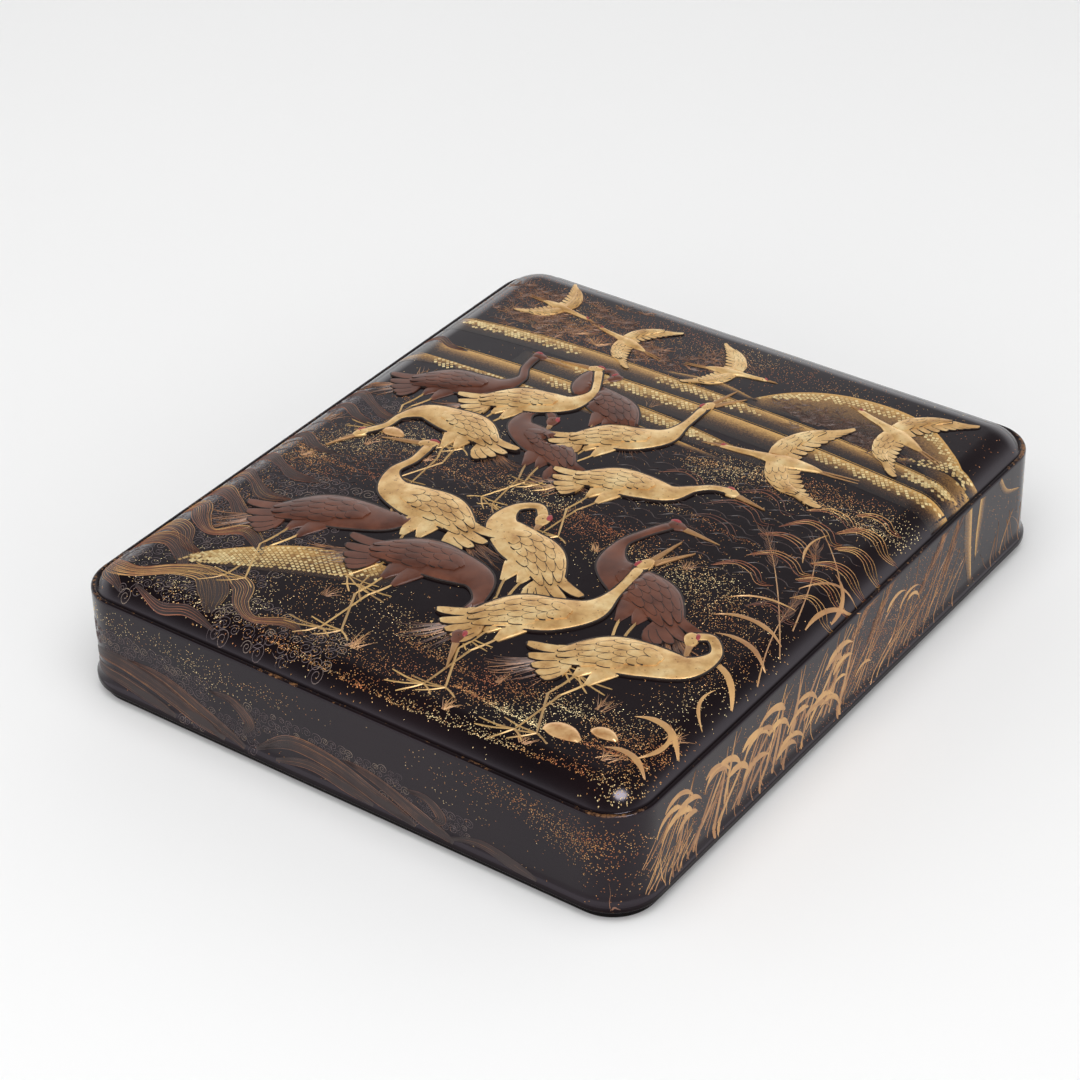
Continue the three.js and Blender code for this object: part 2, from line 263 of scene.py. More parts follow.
def mottled(tree, place, sizeMm, stops, detail=3, roughness=0.55):
    # Colour or value in blotches about sizeMm across: noise of that scale, read off along the stops
    noise = addNode(tree, "TexNoise", {"Scale": 1 / (sizeMm * mm), "Detail": detail, "Roughness": roughness},
                    {"Vector": place})
    return addNode(tree, "ValToRGB", {"stops": stops}, {"Fac": noise})


def uneven(tree, place, sizeMm, strength, depthMm, detail=3):
    # Direction of a surface that waves: noise of sizeMm, taken as a height of depthMm
    noise = addNode(tree, "TexNoise", {"Scale": 1 / (sizeMm * mm), "Detail": detail, "Roughness": 0.55},
                    {"Vector": place})
    return addNode(tree, "Bump", {"Strength": strength, "Distance": depthMm * mm}, {"Height": noise})


def makeMaterial(name, settings, build, *values):
    # Fixed values on the shader, and for its other sockets the outputs that build gives
    material = bpy.data.materials.new(name)
    material.use_nodes = True
    tree = material.node_tree
    shader = tree.nodes["Principled BSDF"]
    for key, value in settings.items():
        shader.inputs[key].default_value = value
    place = addNode(tree, "TexCoord", output="Object")
    for key, source in build(tree, place, *values).items():
        tree.links.new(source, shader.inputs[key])
    return material


def blackLacquer(tree, place):
    # Urushi lacquer over thin wood, polished with charcoal: near black with a warm cast, a wet gloss and
    # a faint ripple. Handling has worn its edges brown. Its reflection is turned down below about 5 mm, a
    # painted shade that darkens the lip band.
    ground = mottled(tree, place, 42, [(0.3, "#0e080a"), (0.7, "#160d0f")])
    wear = addNode(tree, "Attribute", {"attribute_name": "tone"}, output="Fac")
    grain = addNode(tree, "TexNoise", {"Scale": 1 / (1.6 * mm), "Detail": 5, "Roughness": 0.7},
                    {"Vector": place})
    worn = addNode(tree, "Math", {"operation": "MULTIPLY_ADD", 1: 1.5, 2: -0.75}, {0: grain})
    worn = addNode(tree, "Math", {"operation": "ADD"}, {0: worn, 1: wear})
    mask = addNode(tree, "ValToRGB", {"stops": [(0.52, 0.0), (0.72, 1.0)]}, {"Fac": worn})
    rubbed = mottled(tree, place, 0.7, [(0.35, "#4a2f22"), (0.65, "#8a6136")])
    base = addNode(tree, "Mix", {"data_type": "RGBA"}, {0: mask, 6: ground, 7: rubbed}, output=2)
    polish = mottled(tree, place, 6, [(0.3, 0.13), (0.7, 0.2)])
    dull = addNode(tree, "Math", {"operation": "MULTIPLY_ADD", 1: 0.3}, {0: mask, 2: polish})
    height = addNode(tree, "SeparateXYZ", links={"Vector": place}, output="Z")
    height = addNode(tree, "Math", {"operation": "MULTIPLY", 1: 0.1 / mm}, {0: height})  # full at 10 mm
    # Painted shade: the reflection falls from 0.5 to 0.12 below about 5 mm, darkening the lip band
    gloss = addNode(tree, "ValToRGB", {"stops": [(0.46, 0.12), (0.58, 0.5)]}, {"Fac": height})
    return {"Base Color": base, "Roughness": dull, "Specular IOR Level": gloss,
            "Normal": uneven(tree, place, 2.2, 0.12, 0.05, detail=1)}


def flakedLacquer(tree, place):
    # Black lacquer with sparse gold flakes sunk in it, as such trays are lined: a deep gloss with faint
    # glints. The foot band outside has no flakes, and its reflection is turned down as a painted shade
    # that darkens it.
    cells = addNode(tree, "TexVoronoi", {"Scale": 1 / (1.1 * mm)}, {"Vector": place}, output="Distance")
    flakes = addNode(tree, "ValToRGB", {"stops": [(0.1, 1.0), (0.16, 0.0)]}, {"Fac": cells})
    ground = mottled(tree, place, 25, [(0.3, "#0a0707"), (0.7, "#120c0c")])
    scatter = mottled(tree, place, 14, [(0.45, 0.0), (0.62, 1.0)])
    height = addNode(tree, "SeparateXYZ", links={"Vector": place}, output="Z")
    inner = addNode(tree, "Math", {"operation": "GREATER_THAN", 1: 3.3 * mm}, {0: height})
    share = addNode(tree, "Math", {"operation": "MULTIPLY"}, {0: flakes, 1: scatter})
    share = addNode(tree, "Math", {"operation": "MULTIPLY"}, {0: share, 1: inner})
    base = addNode(tree, "Mix", {"data_type": "RGBA", 7: colour("#b08a4a")}, {0: share, 6: ground}, output=2)
    # Painted shade: the foot band below 3.3 mm reflects at 0.1 instead of 0.5, darkening it
    glossWithFootShade = addNode(tree, "Math", {"operation": "MULTIPLY_ADD", 1: 0.4, 2: 0.1}, {0: inner})
    return {"Base Color": base, "Roughness": mottled(tree, place, 5, [(0.3, 0.16), (0.7, 0.26)]),
            "Specular IOR Level": glossWithFootShade,
            "Normal": uneven(tree, place, 2.2, 0.12, 0.05, detail=1)}


def goldPowder(tree, place):
    # Gold powder sprinkled on raised lacquer and burnished: satin yellow, rubbed browner in places,
    # with fine pits and small reddish specks
    base = mottled(tree, place, 7, [(0.3, "#b4874f"), (0.5, "#d9b176"), (0.7, "#ecd09a")], detail=5)
    rubbed = mottled(tree, place, 2.4, [(0.56, 0.0), (0.72, 0.75)], detail=6, roughness=0.72)
    specks = addNode(tree, "TexVoronoi", {"Scale": 1 / (2.1 * mm)}, {"Vector": place}, output="Distance")
    specks = addNode(tree, "ValToRGB", {"stops": [(0.08, 0.8), (0.15, 0.0)]}, {"Fac": specks})
    for share, tone in ((rubbed, "#a9794f"), (specks, "#7c4a33")):
        base = addNode(tree, "Mix", {"data_type": "RGBA", 7: colour(tone)}, {0: share, 6: base}, output=2)
    return {"Base Color": base, "Roughness": mottled(tree, place, 1.5, [(0.3, 0.34), (0.7, 0.5)]),
            "Normal": uneven(tree, place, 0.35, 0.35, 0.05, detail=4)}


def ironRedLacquer(tree, place):
    # Raised lacquer tinted with iron red and left without gold: a soft red-brown with a low gloss
    return {"Base Color": mottled(tree, place, 8, [(0.3, "#472418"), (0.7, "#693b28")], detail=5),
            "Roughness": mottled(tree, place, 2, [(0.3, 0.34), (0.7, 0.46)]),
            "Normal": uneven(tree, place, 0.5, 0.3, 0.05, detail=4)}


def brushedTones(tree, place, tones, sizeMm):
    # Lacquer or powder laid on with a brush: its colour runs through a row of tones, half by each stroke's
    # own tone and half in blotches of sizeMm
    tone = addNode(tree, "Attribute", {"attribute_name": "tone"}, output="Fac")
    noise = addNode(tree, "TexNoise", {"Scale": 1 / (sizeMm * mm), "Detail": 3, "Roughness": 0.55},
                    {"Vector": place})
    share = addNode(tree, "Math", {"operation": "ADD"}, {0: tone, 1: noise})
    share = addNode(tree, "Math", {"operation": "MULTIPLY", 1: 0.5}, {0: share})
    stops = [(0.2 + 0.6 * k / (len(tones) - 1), tone) for k, tone in enumerate(tones)]
    return {"Base Color": addNode(tree, "ValToRGB", {"stops": stops}, {"Fac": share}),
            "Normal": uneven(tree, place, 0.4, 0.2, 0.03)}


def thinningGold(tree, place):
    # Gold powder dusted thinner and thinner over black: bright at one edge, gone at the other
    tone = addNode(tree, "Attribute", {"attribute_name": "tone"}, output="Fac")
    grain = addNode(tree, "TexNoise", {"Scale": 1 / (0.55 * mm), "Detail": 2, "Roughness": 0.55},
                    {"Vector": place})
    dust = addNode(tree, "Math", {"operation": "MULTIPLY_ADD", 1: 0.7, 2: -0.35}, {0: grain})
    share = addNode(tree, "Math", {"operation": "ADD"}, {0: tone, 1: dust})
    stops = [(0.02, "#171114"), (0.3, "#3f2b1e"), (0.6, "#866338"), (0.95, "#c59a5a")]
    return {"Base Color": addNode(tree, "ValToRGB", {"stops": stops}, {"Fac": share}),
            "Normal": addNode(tree, "Bump", {"Strength": 0.15, "Distance": 0.03 * mm}, {"Height": grain})}


makeMaterial("polishedBlackLacquer", {"IOR": 1.38, "Specular Tint": colour("#f4eafa")}, blackLacquer)
makeMaterial("flakedTrayLacquer", {"IOR": 1.45}, flakedLacquer)
makeMaterial("burnishedGold", {"Metallic": 0.45}, goldPowder)
makeMaterial("brownRelief", {"IOR": 1.5}, ironRedLacquer)
makeMaterial("fadedGold", {"IOR": 1.38, "Roughness": 0.24}, thinningGold)
brushed = {  # tones from dark to pale, roughness, metallic, size of the blotches in millimetres
    # Soot lacquer drawn over gold: matt dark lines
    "darkDrawnLine": (["#1d100c", "#38211a"], 0.5, 0.0, 5),
    # Gold dust on a thin lacquer line: satin strokes, duller than the relief
    "drawnGoldLine": (["#80603a", "#c7a266"], 0.42, 0.3, 6),
    # Vermilion lacquer, unpolished: a soft red
    "vermilionCrown": (["#8e2f33", "#b04848"], 0.45, 0.0, 2),
    # Pale gold dust, lightly rubbed: a dull cream gold
    "paleGoldBill": (["#9b7248", "#cba56c"], 0.4, 0.3, 3),
    # Hair-thin brown lacquer lines with a little dust caught in them: dark with copper glints
    "plumeHair": (["#2c1e1b", "#5e4032", "#a8764c"], 0.45, 0.1, 6),
    # Coarse filings dropped on wet lacquer: glints from copper to pale gold
    "sprinkledGoldFlake": (["#a3592f", "#c08a4c", "#eedaa6"], 0.4, 0.4, 9),
    # Dust on combed lacquer lines: grey-brown where it is thin and gold where it is thick
    "combedWaveLine": (["#41342f", "#6b4336", "#9c5f40", "#cfa264"], 0.38, 0.2, 7),
    # Tarnished silver dust: a dull warm grey
    "greyFoamLine": (["#40353a", "#625354", "#95836f"], 0.42, 0.1, 6),
    # Gold dust on raised brush strokes: soft ochre with browner ends
    "reedGold": (["#684734", "#a37750", "#cda168"], 0.42, 0.25, 8),
    # Low relief of lacquer thickened with clay and soot: dull swells a little paler than the ground
    "waveReliefBrown": (["#1d1315", "#2e201e", "#4c3c3a"], 0.5, 0.0, 12),
    # Thick gold on high relief, burnished most of all: glossier than the figures
    "boulderGold": (["#5a3622", "#b07a48", "#ecc48c"], 0.26, 0.35, 3),
    # Combed lines that hands have rubbed: grey-brown with some copper left
    "dullWaveLine": (["#241c1f", "#4c3834", "#865a41", "#bd8852"], 0.42, 0.1, 5),
    # Squares cut from gold leaf: bright and even
    "cutGoldSquare": (["#b48d50", "#f0dca4"], 0.36, 0.45, 5),
}
for name, (tones, roughness, metallic, sizeMm) in brushed.items():
    makeMaterial(name, {"Metallic": metallic, "Roughness": roughness}, brushedTones, tones, sizeMm)
print("materials made")


# Lid and tray bodies

def planRing(inset, cornerSteps=14, sideSteps=46):
    # Rounded rectangle moved in by inset, anticlockwise: four arcs, each followed by a straight side
    radius = max(lid["cornerRadius"] - inset, 0.5)
    x, y = halfWidth - inset - radius, halfDepth - inset - radius
    centres = np.array([[x, -y], [x, y], [-x, y], [-x, -y]])
    angle = np.radians(90 * (np.arange(4)[:, None] - 1) + np.linspace(0, 90, cornerSteps + 1))
    arcs = centres[:, None] + radius * np.stack([np.cos(angle), np.sin(angle)], axis=-1)
    share = np.linspace(0, 1, sideSteps + 1)[None, 1:-1, None]
    sides = arcs[:, -1:] * (1 - share) + np.roll(arcs[:, :1], -1, axis=0) * share
    return np.concatenate([arcs, sides], axis=1).reshape(-1, 2)


def ringPart(rings, tones):
    # Closed body through a stack of rings: bands of quads between rings and one cap at each end
    points = np.stack(rings)
    rows, columns = points.shape[:2]
    index = np.arange(rows * columns).reshape(rows, columns)
    beside = np.roll(index, -1, axis=1)
    quads = np.stack([index[:-1], beside[:-1], beside[1:], index[1:]], axis=-1).reshape(-1, 4)
    return {
        "points": points.reshape(-1, 3),
        "quads": quads,
        "quadKinds": np.zeros(len(quads), int),
        "caps": np.stack([index[0, ::-1], index[-1]]),
        "capKinds": np.zeros(2, int),
        "tones": np.stack(tones).reshape(-1),
    }


def smoothNoise(x, y, size, seed):
    # Slow bumps as a sum of six sine waves of random direction, about size millimetres long, from 0 to 1
    local = np.random.default_rng(seed)
    angles, phases = local.uniform(0, 2 * np.pi, (2, 6))
    scale = 2 * np.pi / (size * local.uniform(0.6, 1.6, 6))
    waves = [np.sin((x * math.cos(a) + y * math.sin(a)) * k + p) for a, p, k in zip(angles, phases, scale)]
    return 0.5 + 0.2 * sum(waves)


wornPlaces = [  # x, y, reach, strength: where hands and time have rubbed the edge through
    (99, -118, 16, 0.34),
    (104, 40, 60, 0.16),
    (104, 112, 12, 0.3),
    (-96, -121, 22, 0.26),
    (-20, -122, 9, 0.3),
    (52, -122, 10, 0.28),
    (-104, -60, 30, 0.14),
]


def wearAt(points):
    # Share of wear: a Gaussian about the bead's height and one about the lip's, none on the open faces,
    # times a base that rises near the worn places and wanders with slow noise
    x, y, z = points.T
    inset = insetOf(x, y)
    edge = np.exp(-((z - ridge) / 0.5) ** 2) * (inset < 2.2)
    lip = np.exp(-((z - lidBase - 0.9) / 0.9) ** 2) * (inset < 0) * 0.75
    local = sum(k * np.exp(-((x - px) ** 2 + (y - py) ** 2) / r ** 2) for px, py, r, k in wornPlaces)
    return (edge + lip) * (0.2 + local + 0.22 * smoothNoise(x, y, 30, 5))


def ring(inset, height):
    # The plan moved in by inset, at a height that is a number or a function of x and y
    flat = planRing(inset)
    return np.column_stack([flat, height(*flat.T) if callable(height) else np.full(len(flat), height)])


def drawnIn(flat, share, height):
    # A ring shrunk towards the middle to a share of its size, and laid on a surface
    inner = flat[:, :2] * share
    return np.column_stack([inner, height(*inner.T)])


def rounded(inset, z, moveIn, moveUp, fromFlat=False, steps=5):
    # Rings round a corner at (inset, z): a quarter circle whose centre lies moveIn further in and moveUp
    # higher, from the upright face to the flat one or the other way about
    angles = np.radians(np.linspace(0, 90, steps))
    sines, cosines = 1 - np.sin(angles), 1 - np.cos(angles)
    pairs = zip(sines, cosines) if fromFlat else zip(cosines, sines)
    return [ring(inset + moveIn * inward, z + moveUp * upward) for inward, upward in pairs]


def lidBody():
    # One stack of rings: out over the ceiling, down the inner wall, round the lip, up the wall with its
    # parabolic flare, round the bead, through the groove, and in over the dome
    def ceiling(x, y):
        # The dome, lower by the thickness of the plate
        return dome(x, y) - lid["plate"]

    flare, sweep, bead = -lid["lipFlare"], lid["lipSweep"], lid["beadRadius"]
    band, crown = lidBase + lid["lipBand"], domeEdge + shoulderRun
    groove, depth = lid["grooveWidth"], lid["grooveDepth"]
    ceilingIn, ceilingUp = lid["innerRound"]
    under = ring(crown, ceiling)
    rings = [drawnIn(under, share, ceiling) for share in np.linspace(0.02, 0.94, lid["ceilingRings"])]
    rings += [ring(inset, ceiling) for inset in np.linspace(crown, lid["wall"] + ceilingIn, 8)]
    rings += [ring(lid["wall"], z) for z in np.linspace(ridge - lid["plate"] + ceilingUp, lidBase + 0.4, 5)]
    rings += rounded(flare, lidBase, lid["lipEdge"], lid["lipEdge"], fromFlat=True)
    rings += [ring(flare, band - 0.25)]
    rings += [ring(flare * (1 - u) ** 2, band + sweep * u) for u in np.linspace(0, 1, lid["wallRings"])]
    rings += [ring(0, z) for z in np.linspace(band + sweep + 2, ridge - 2 * bead, lid["wallRings"])]
    rings += rounded(0, ridge, bead, -bead, steps=8)
    rings += [ring(bead + lid["ledgeWidth"] * u, ridge) for u in (0.5, 0.9)]
    rings += [ring(domeEdge - groove * u, domeFoot + depth * (0.5 * u ** 2 - 0.35 * (1 - u)))
              for u in (0.75, 0.5, 0.25)]
    rings += [ring(domeEdge + shoulderRun * u, dome) for u in np.linspace(0, 1, lid["shoulderRings"])]
    shoulderTop = rings[-1]
    rings += [drawnIn(shoulderTop, share, dome) for share in np.linspace(0.97, 0.02, lid["crownRings"])]
    tones = [wearAt(points) for points in rings]
    body = makePiece("lidGround", [ringPart(rings, tones)], ["polishedBlackLacquer"], sharp=70)
    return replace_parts(body, "lid")


tray = {
    "footInset": 0.9,
    "footEdge": 0.5,
    "footHeight": 3.1,
    "footRecess": 1.0,
    "footRim": 7.0,
    "floor": 3.2,
    "wall": 3.2,
    "clearance": 0.6,
    "edge": 0.7,
    "fillet": 1.5,
    "innerRings": (60, 30),
}


def trayBody():
    # One stack of rings: out over the recessed underside, round the foot band, up the outer wall, over its
    # rounded top, down inside to the fillet, and in over the floor
    top, base = trayHigh.z / mm, trayLow.z / mm
    edge, foot, fillet = tray["edge"], tray["footEdge"], tray["fillet"]
    outer = lid["wall"] + tray["clearance"]
    inner = outer + tray["wall"]
    rim = tray["footInset"] + tray["footRim"]
    floorTop = tray["footRecess"] + tray["floor"]
    rings = [ring(inner + reach, tray["footRecess"]) for reach in tray["innerRings"]]
    rings += [ring(rim, tray["footRecess"]), ring(rim, base)]
    rings += rounded(tray["footInset"], base, foot, foot, fromFlat=True)
    rings += rounded(tray["footInset"], tray["footHeight"], foot, -foot)
    rings += [ring(outer, tray["footHeight"]), ring(outer, top - edge - 8)]
    rings += rounded(outer, top, edge, -edge)
    rings += rounded(inner, top, -edge, -edge, fromFlat=True)
    rings += rounded(inner, floorTop, fillet, fillet)
    rings += [ring(inner + reach, floorTop) for reach in tray["innerRings"][::-1]]
    tones = [np.zeros(len(points)) for points in rings]
    body = makePiece("trayGround", [ringPart(rings, tones)], ["flakedTrayLacquer"], sharp=60)
    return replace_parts(body, "tray")


lidBody()
trayBody()


# Cranes

standingCranes = {
    "nearLength": 40,
    "farLength": 33.5,
    "bodyHeight": 1.0,
    "rimHeight": 0.16,
    "outline": 0.36,
    "layerStep": 0.14,
    "wingHeight": 0.2,
    "featherRows": (2, 3, 4, 4, 4, 3),
    "quills": 5,
    "hairs": 34,
    "bodyGrid": (74, 13),  # rows and columns of the mesh
    "outlineGrid": (74, 5),
    "near": [  # x and y as shares of the half width and half depth, facing, tilt, pose, layer, gold or brown
        (-0.52, -0.42, 1, 8, "resting", 0, "brown"),
        (-0.31, -0.27, -1, -8, "alert", 1, "gold"),
        (-0.12, -0.46, 1, -6, "feeding", 2, "brown"),
        (0.08, -0.29, -1, 10, "preening", 0, "gold"),
        (0.29, -0.5, 1, 18, "calling", 2, "gold"),
        (0.47, -0.27, -1, 6, "looking", 0, "brown"),
        (0.62, -0.52, 1, 10, "resting", 1, "gold"),
    ],
    "far": [
        (-0.66, 0.28, 1, 6, "alert", 0, "brown"),
        (-0.5, 0.1, -1, -4, "feeding", 2, "gold"),
        (-0.4, 0.3, 1, 10, "looking", 1, "gold"),
        (-0.22, 0.14, -1, 6, "preening", 0, "brown"),
        (-0.18, 0.4, -1, 12, "resting", 0, "brown"),
        (-0.03, 0.28, 1, 16, "calling", 1, "gold"),
        (0.13, 0.1, 1, 2, "striding", 2, "gold"),
    ],
}

# Neck lines from the body to the head, and bill tips counted from the head, in body lengths
neckPoses = {
    "alert": ([(0.14, 0), (0.38, 0.12), (0.5, 0.34), (0.43, 0.56), (0.42, 0.82)], [(0.44, -0.06)]),
    "calling": ([(0.14, 0), (0.38, 0.16), (0.5, 0.42), (0.6, 0.82)], [(0.2, 0.4), (0.34, 0.28)]),
    "feeding": ([(0.14, 0), (0.44, 0.04), (0.62, -0.14), (0.66, -0.36), (0.8, -0.56)], [(0.2, -0.36)]),
    "preening": ([(0.14, 0), (0.4, 0.12), (0.48, 0.34), (0.36, 0.48), (0.22, 0.4)], [(-0.16, -0.36)]),
    "resting": ([(0.14, 0), (0.44, 0.08), (0.58, 0.3), (0.48, 0.48), (0.34, 0.44)], [(0.08, -0.42)]),
    "striding": ([(0.14, 0), (0.42, 0.08), (0.58, 0.26), (0.72, 0.38), (0.88, 0.42)], [(0.44, -0.08)]),
    "looking": ([(0.14, 0), (0.38, 0.12), (0.5, 0.36), (0.46, 0.58), (0.36, 0.84)], [(-0.44, 0.02)]),
}

# The rest of a figure in body lengths: lines with their half widths, or half widths alone along a line
figure = {
    "wing": ([(0.27, 0.04), (0.06, 0.05), (-0.2, -0.04), (-0.5, -0.22)], [0.05, 0.15, 0.165, 0.1]),
    "tail": ([(-0.24, -0.06), (-0.5, -0.2), (-0.72, -0.3)], [0.12, 0.13, 0.05]),
    "skull": [0.03, 0.062, 0.052, 0.018],
    "bill": [0.021, 0.013, 0.003],
    "crown": [0.016, 0.026, 0.012],
    "eye": [0.011, 0.01],
    "thigh": [0.12, 0.1, 0.022],
    "thighs": [(-0.02, 0.34), (-0.15, 0.3)],  # place along the body, and length
    "legs": [  # hip, knee and foot
        ((-0.05, -0.34), (-0.16, -0.62), (-0.21, -1.12)),
        ((-0.19, -0.34), (-0.25, -0.65), (-0.05, -1.07)),
    ],
    "toes": [(-176, 0.3), (-154, 0.31), (-128, 0.24), (-30, 0.15)],  # heading in degrees, and length
}
letIn = {"relief": 0.08, "line": 0.05, "flake": 0.04, "hidden": 0.02}  # how far below the lacquer a foot lies


def turnBy(degrees):
    # Matrix that turns rows of points anticlockwise
    a = math.radians(degrees)
    return np.array([[math.cos(a), math.sin(a)], [-math.sin(a), math.cos(a)]])


def placer(at, length, facing=1, tilt=0):
    # Turns a figure's points by its tilt, mirrors them to face left, scales them and moves them to their
    # place
    def place(points):
        turned = np.asarray(points, float) @ turnBy(tilt) * np.array([facing, 1])
        return turned * length + np.asarray(at, float)

    return place


def bulge(t, power=2.2):
    # Rounded cross-section: one in the middle, falling steeply to nothing at the edges
    return np.sqrt(np.maximum(1 - np.abs(t) ** power, 0))


def ribbonPart(line, widths, rows, columns, top, sheet=onTop, rim=0.12, kind=0, tone=0.0, press=None):
    # A pillow along a line: a rim, and on it a bulge whose height runs through top along the way and falls
    # off at both ends. Its foot is let into the ground.
    s = np.linspace(0, 1, rows)[:, None] * np.ones(columns + 2)
    t = np.sin(np.linspace(-1, 1, columns) * math.pi / 2)
    t = np.concatenate([[-1], t, [1]])[None] * np.ones((rows, 1))
    flat = ribbonAt(line, widths, s, t)
    ends = np.minimum(1, np.minimum(s, 1 - s) * rows / 2.5)
    height = rim + np.interp(s, np.linspace(0, 1, len(top)), top) * bulge(t) * ends
    height[:, 0] = height[:, -1] = -letIn["relief"]
    if press is not None:
        height = press(flat, height)
    return gridPart(flat[None], height[None], sheet, kind, tone)


def strokesPart(at, half, height, sheet=onTop, kind=0, tone=0.0, press=None):
    # Many thin strokes at once, each a low roof over its line: at is (strokes, rows, 2), half width and
    # height are (strokes, rows)
    along = np.gradient(at, axis=1)
    along /= np.linalg.norm(along, axis=-1, keepdims=True) + 1e-9
    half = np.broadcast_to(half, at.shape[:2])
    height = np.broadcast_to(height, at.shape[:2])
    across = half[:, :, None] * np.array([-1, 0, 1])
    flat = at[:, :, None] + sidewaysOf(along)[:, :, None] * across[..., None]
    foot = np.full_like(height, -letIn["line"])
    lift = np.stack([foot, height, foot], axis=-1)
    if press is not None:
        lift = press(flat, lift)
    kinds = np.broadcast_to(np.asarray(kind), (len(at),))[:, None, None]
    tone = np.asarray(tone, float)
    return gridPart(flat, lift, sheet, kinds, tone.reshape(tone.shape + (1,) * (3 - tone.ndim)))


def sweeps(start, heading, reach, curl, rows=9, power=1.6):
    # Strokes that leave their start at a heading and turn by curl radians on the way, more towards the tip
    way = np.linspace(0, 1, rows)
    turned = heading[:, None] + curl[:, None] * way ** power
    steps = np.stack([np.cos(turned), np.sin(turned)], axis=-1) * (reach / (rows - 1))[:, None, None]
    steps[:, 0] = 0
    return start[:, None] + np.cumsum(steps, axis=1)


def taper(rows, start=0.5, end=0.1, middle=1.0):
    # Width of a brush stroke along its way: start, full in the first half, and thin at the end
    return np.interp(np.linspace(0, 1, rows), [0, 0.15, 0.55, 1], [start, middle, 0.85 * middle, end])


def insideOf(outline, points):
    # Even-odd test of points against a closed outline
    x, y = points[..., 0], points[..., 1]
    found = np.zeros(x.shape, bool)
    low, high = outline.min(axis=0), outline.max(axis=0)
    near = (x > low[0]) & (x < high[0]) & (y > low[1]) & (y < high[1])
    px, py = x[near], y[near]
    odd = np.zeros(px.shape, bool)
    for (x0, y0), (x1, y1) in zip(outline, np.roll(outline, -1, axis=0)):
        if y0 != y1:
            crosses = (y0 > py) != (y1 > py)
            odd ^= crosses & (px < x0 + (py - y0) * (x1 - x0) / (y1 - y0))
    found[near] = odd
    return found


def outlineOf(line, widths, steps=28):
    # A ribbon's left edge forwards and its right edge back
    s, edge = np.linspace(0, 1, steps), np.ones(steps)
    return np.concatenate([ribbonAt(line, widths, s, edge), ribbonAt(line, widths, s, -edge)[::-1]])


def pressUnder(outlines):
    # Lowers whatever lies inside the outlines of figures that stand in front to just under the ground
    def press(flat, height):
        for outline in outlines:
            height = np.where(insideOf(outline, flat), np.minimum(height, -letIn["hidden"]), height)
        return height

    return press


def spineOf(pose):
    # Head to rump in one line: the neck backwards, then the body
    neck, bills = neckPoses[pose]
    line = neck[:0:-1] + [(0.12, 0.03), (-0.12, 0.0), (-0.34, -0.1), (-0.56, -0.22)]
    thin = [0.05, 0.044, 0.055] if len(neck) == 5 else [0.05, 0.05]
    return line, thin[:len(neck) - 2] + [0.135, 0.205, 0.215, 0.15, 0.03]


def nearestOn(line, widths, points, steps=90):
    # For each point, how far across the ribbon it is (in half widths) and its share along the line
    s = np.linspace(0, 1, steps)
    centre, half = curveAt(line, s)[0], halfWidthAt(widths, s)
    away = np.linalg.norm(points[..., None, :] - centre, axis=-1) / half
    nearest = away.argmin(axis=-1)
    return away.min(axis=-1), s[nearest]


def featherPart(place, surface, starts, across, length, width, order, press=None, tipRound=3.2):
    # Overlapping shields laid out in a wing's own shares: start along, place across, length and width in
    # the same shares; each one's tip stands a little proud, and its edge cells carry the drawn line
    u = np.array([0, 0.25, 0.5, 0.7, 0.84, 0.92, 0.965, 1.0])
    v = np.array([-1, -0.86, -0.45, 0, 0.45, 0.86, 1])
    shape = np.sqrt(1 - np.minimum(u, 0.999) ** tipRound) * np.interp(u, [0, 0.4, 1], [0.75, 1, 1])
    s = starts[:, None, None] + length[:, None, None] * u[None, :, None] * np.ones(len(v))
    t = across[:, None, None] + width[:, None, None] * shape[None, :, None] * v
    flat, base = surface(s, t)
    height = base + (0.05 + 0.022 * order[:, None, None] + 0.075 * u[None, :, None] - 0.03 * np.abs(v) ** 3)
    foot = np.full_like(height[:, :, :1], -letIn["line"])
    height = np.concatenate([foot, height, foot], axis=2)
    flat = place(np.concatenate([flat[:, :, :1], flat, flat[:, :, -1:]], axis=2))
    edge = np.zeros((len(u) - 1, len(v) + 2), int)
    edge[2:, [0, 1, -3, -2]] = edge[-1:] = 1
    if press is not None:
        height = press(flat, height)
    return gridPart(flat, height, onTop, np.broadcast_to(edge, (len(starts), *edge.shape)))


def quillPart(place, base, heading, reach, half, lift, order, press=None):
    # Long flight feathers: shields that leave their base at a heading, bend by a sine's arch and turn down
    count, along = len(base), np.stack([np.cos(heading), np.sin(heading)], axis=-1)

    def surface(s, t):
        # Along the quill by s, and across it by t half widths that grow towards the tip
        s = s * np.ones(t.shape)
        bend = 0.1 * np.sin(math.pi * s) * reach[:, None, None]
        flat = base[:, None, None] + along[:, None, None] * (s * reach[:, None, None])[..., None]
        flat = flat + sidewaysOf(along)[:, None, None] * (bend + t * half * (0.75 + 0.35 * s))[..., None]
        return flat, lift[:, None, None] - 0.22 * s

    whole = np.ones(count)
    return featherPart(place, surface, 0 * whole, 0 * whole, whole, whole, order, press, 7)


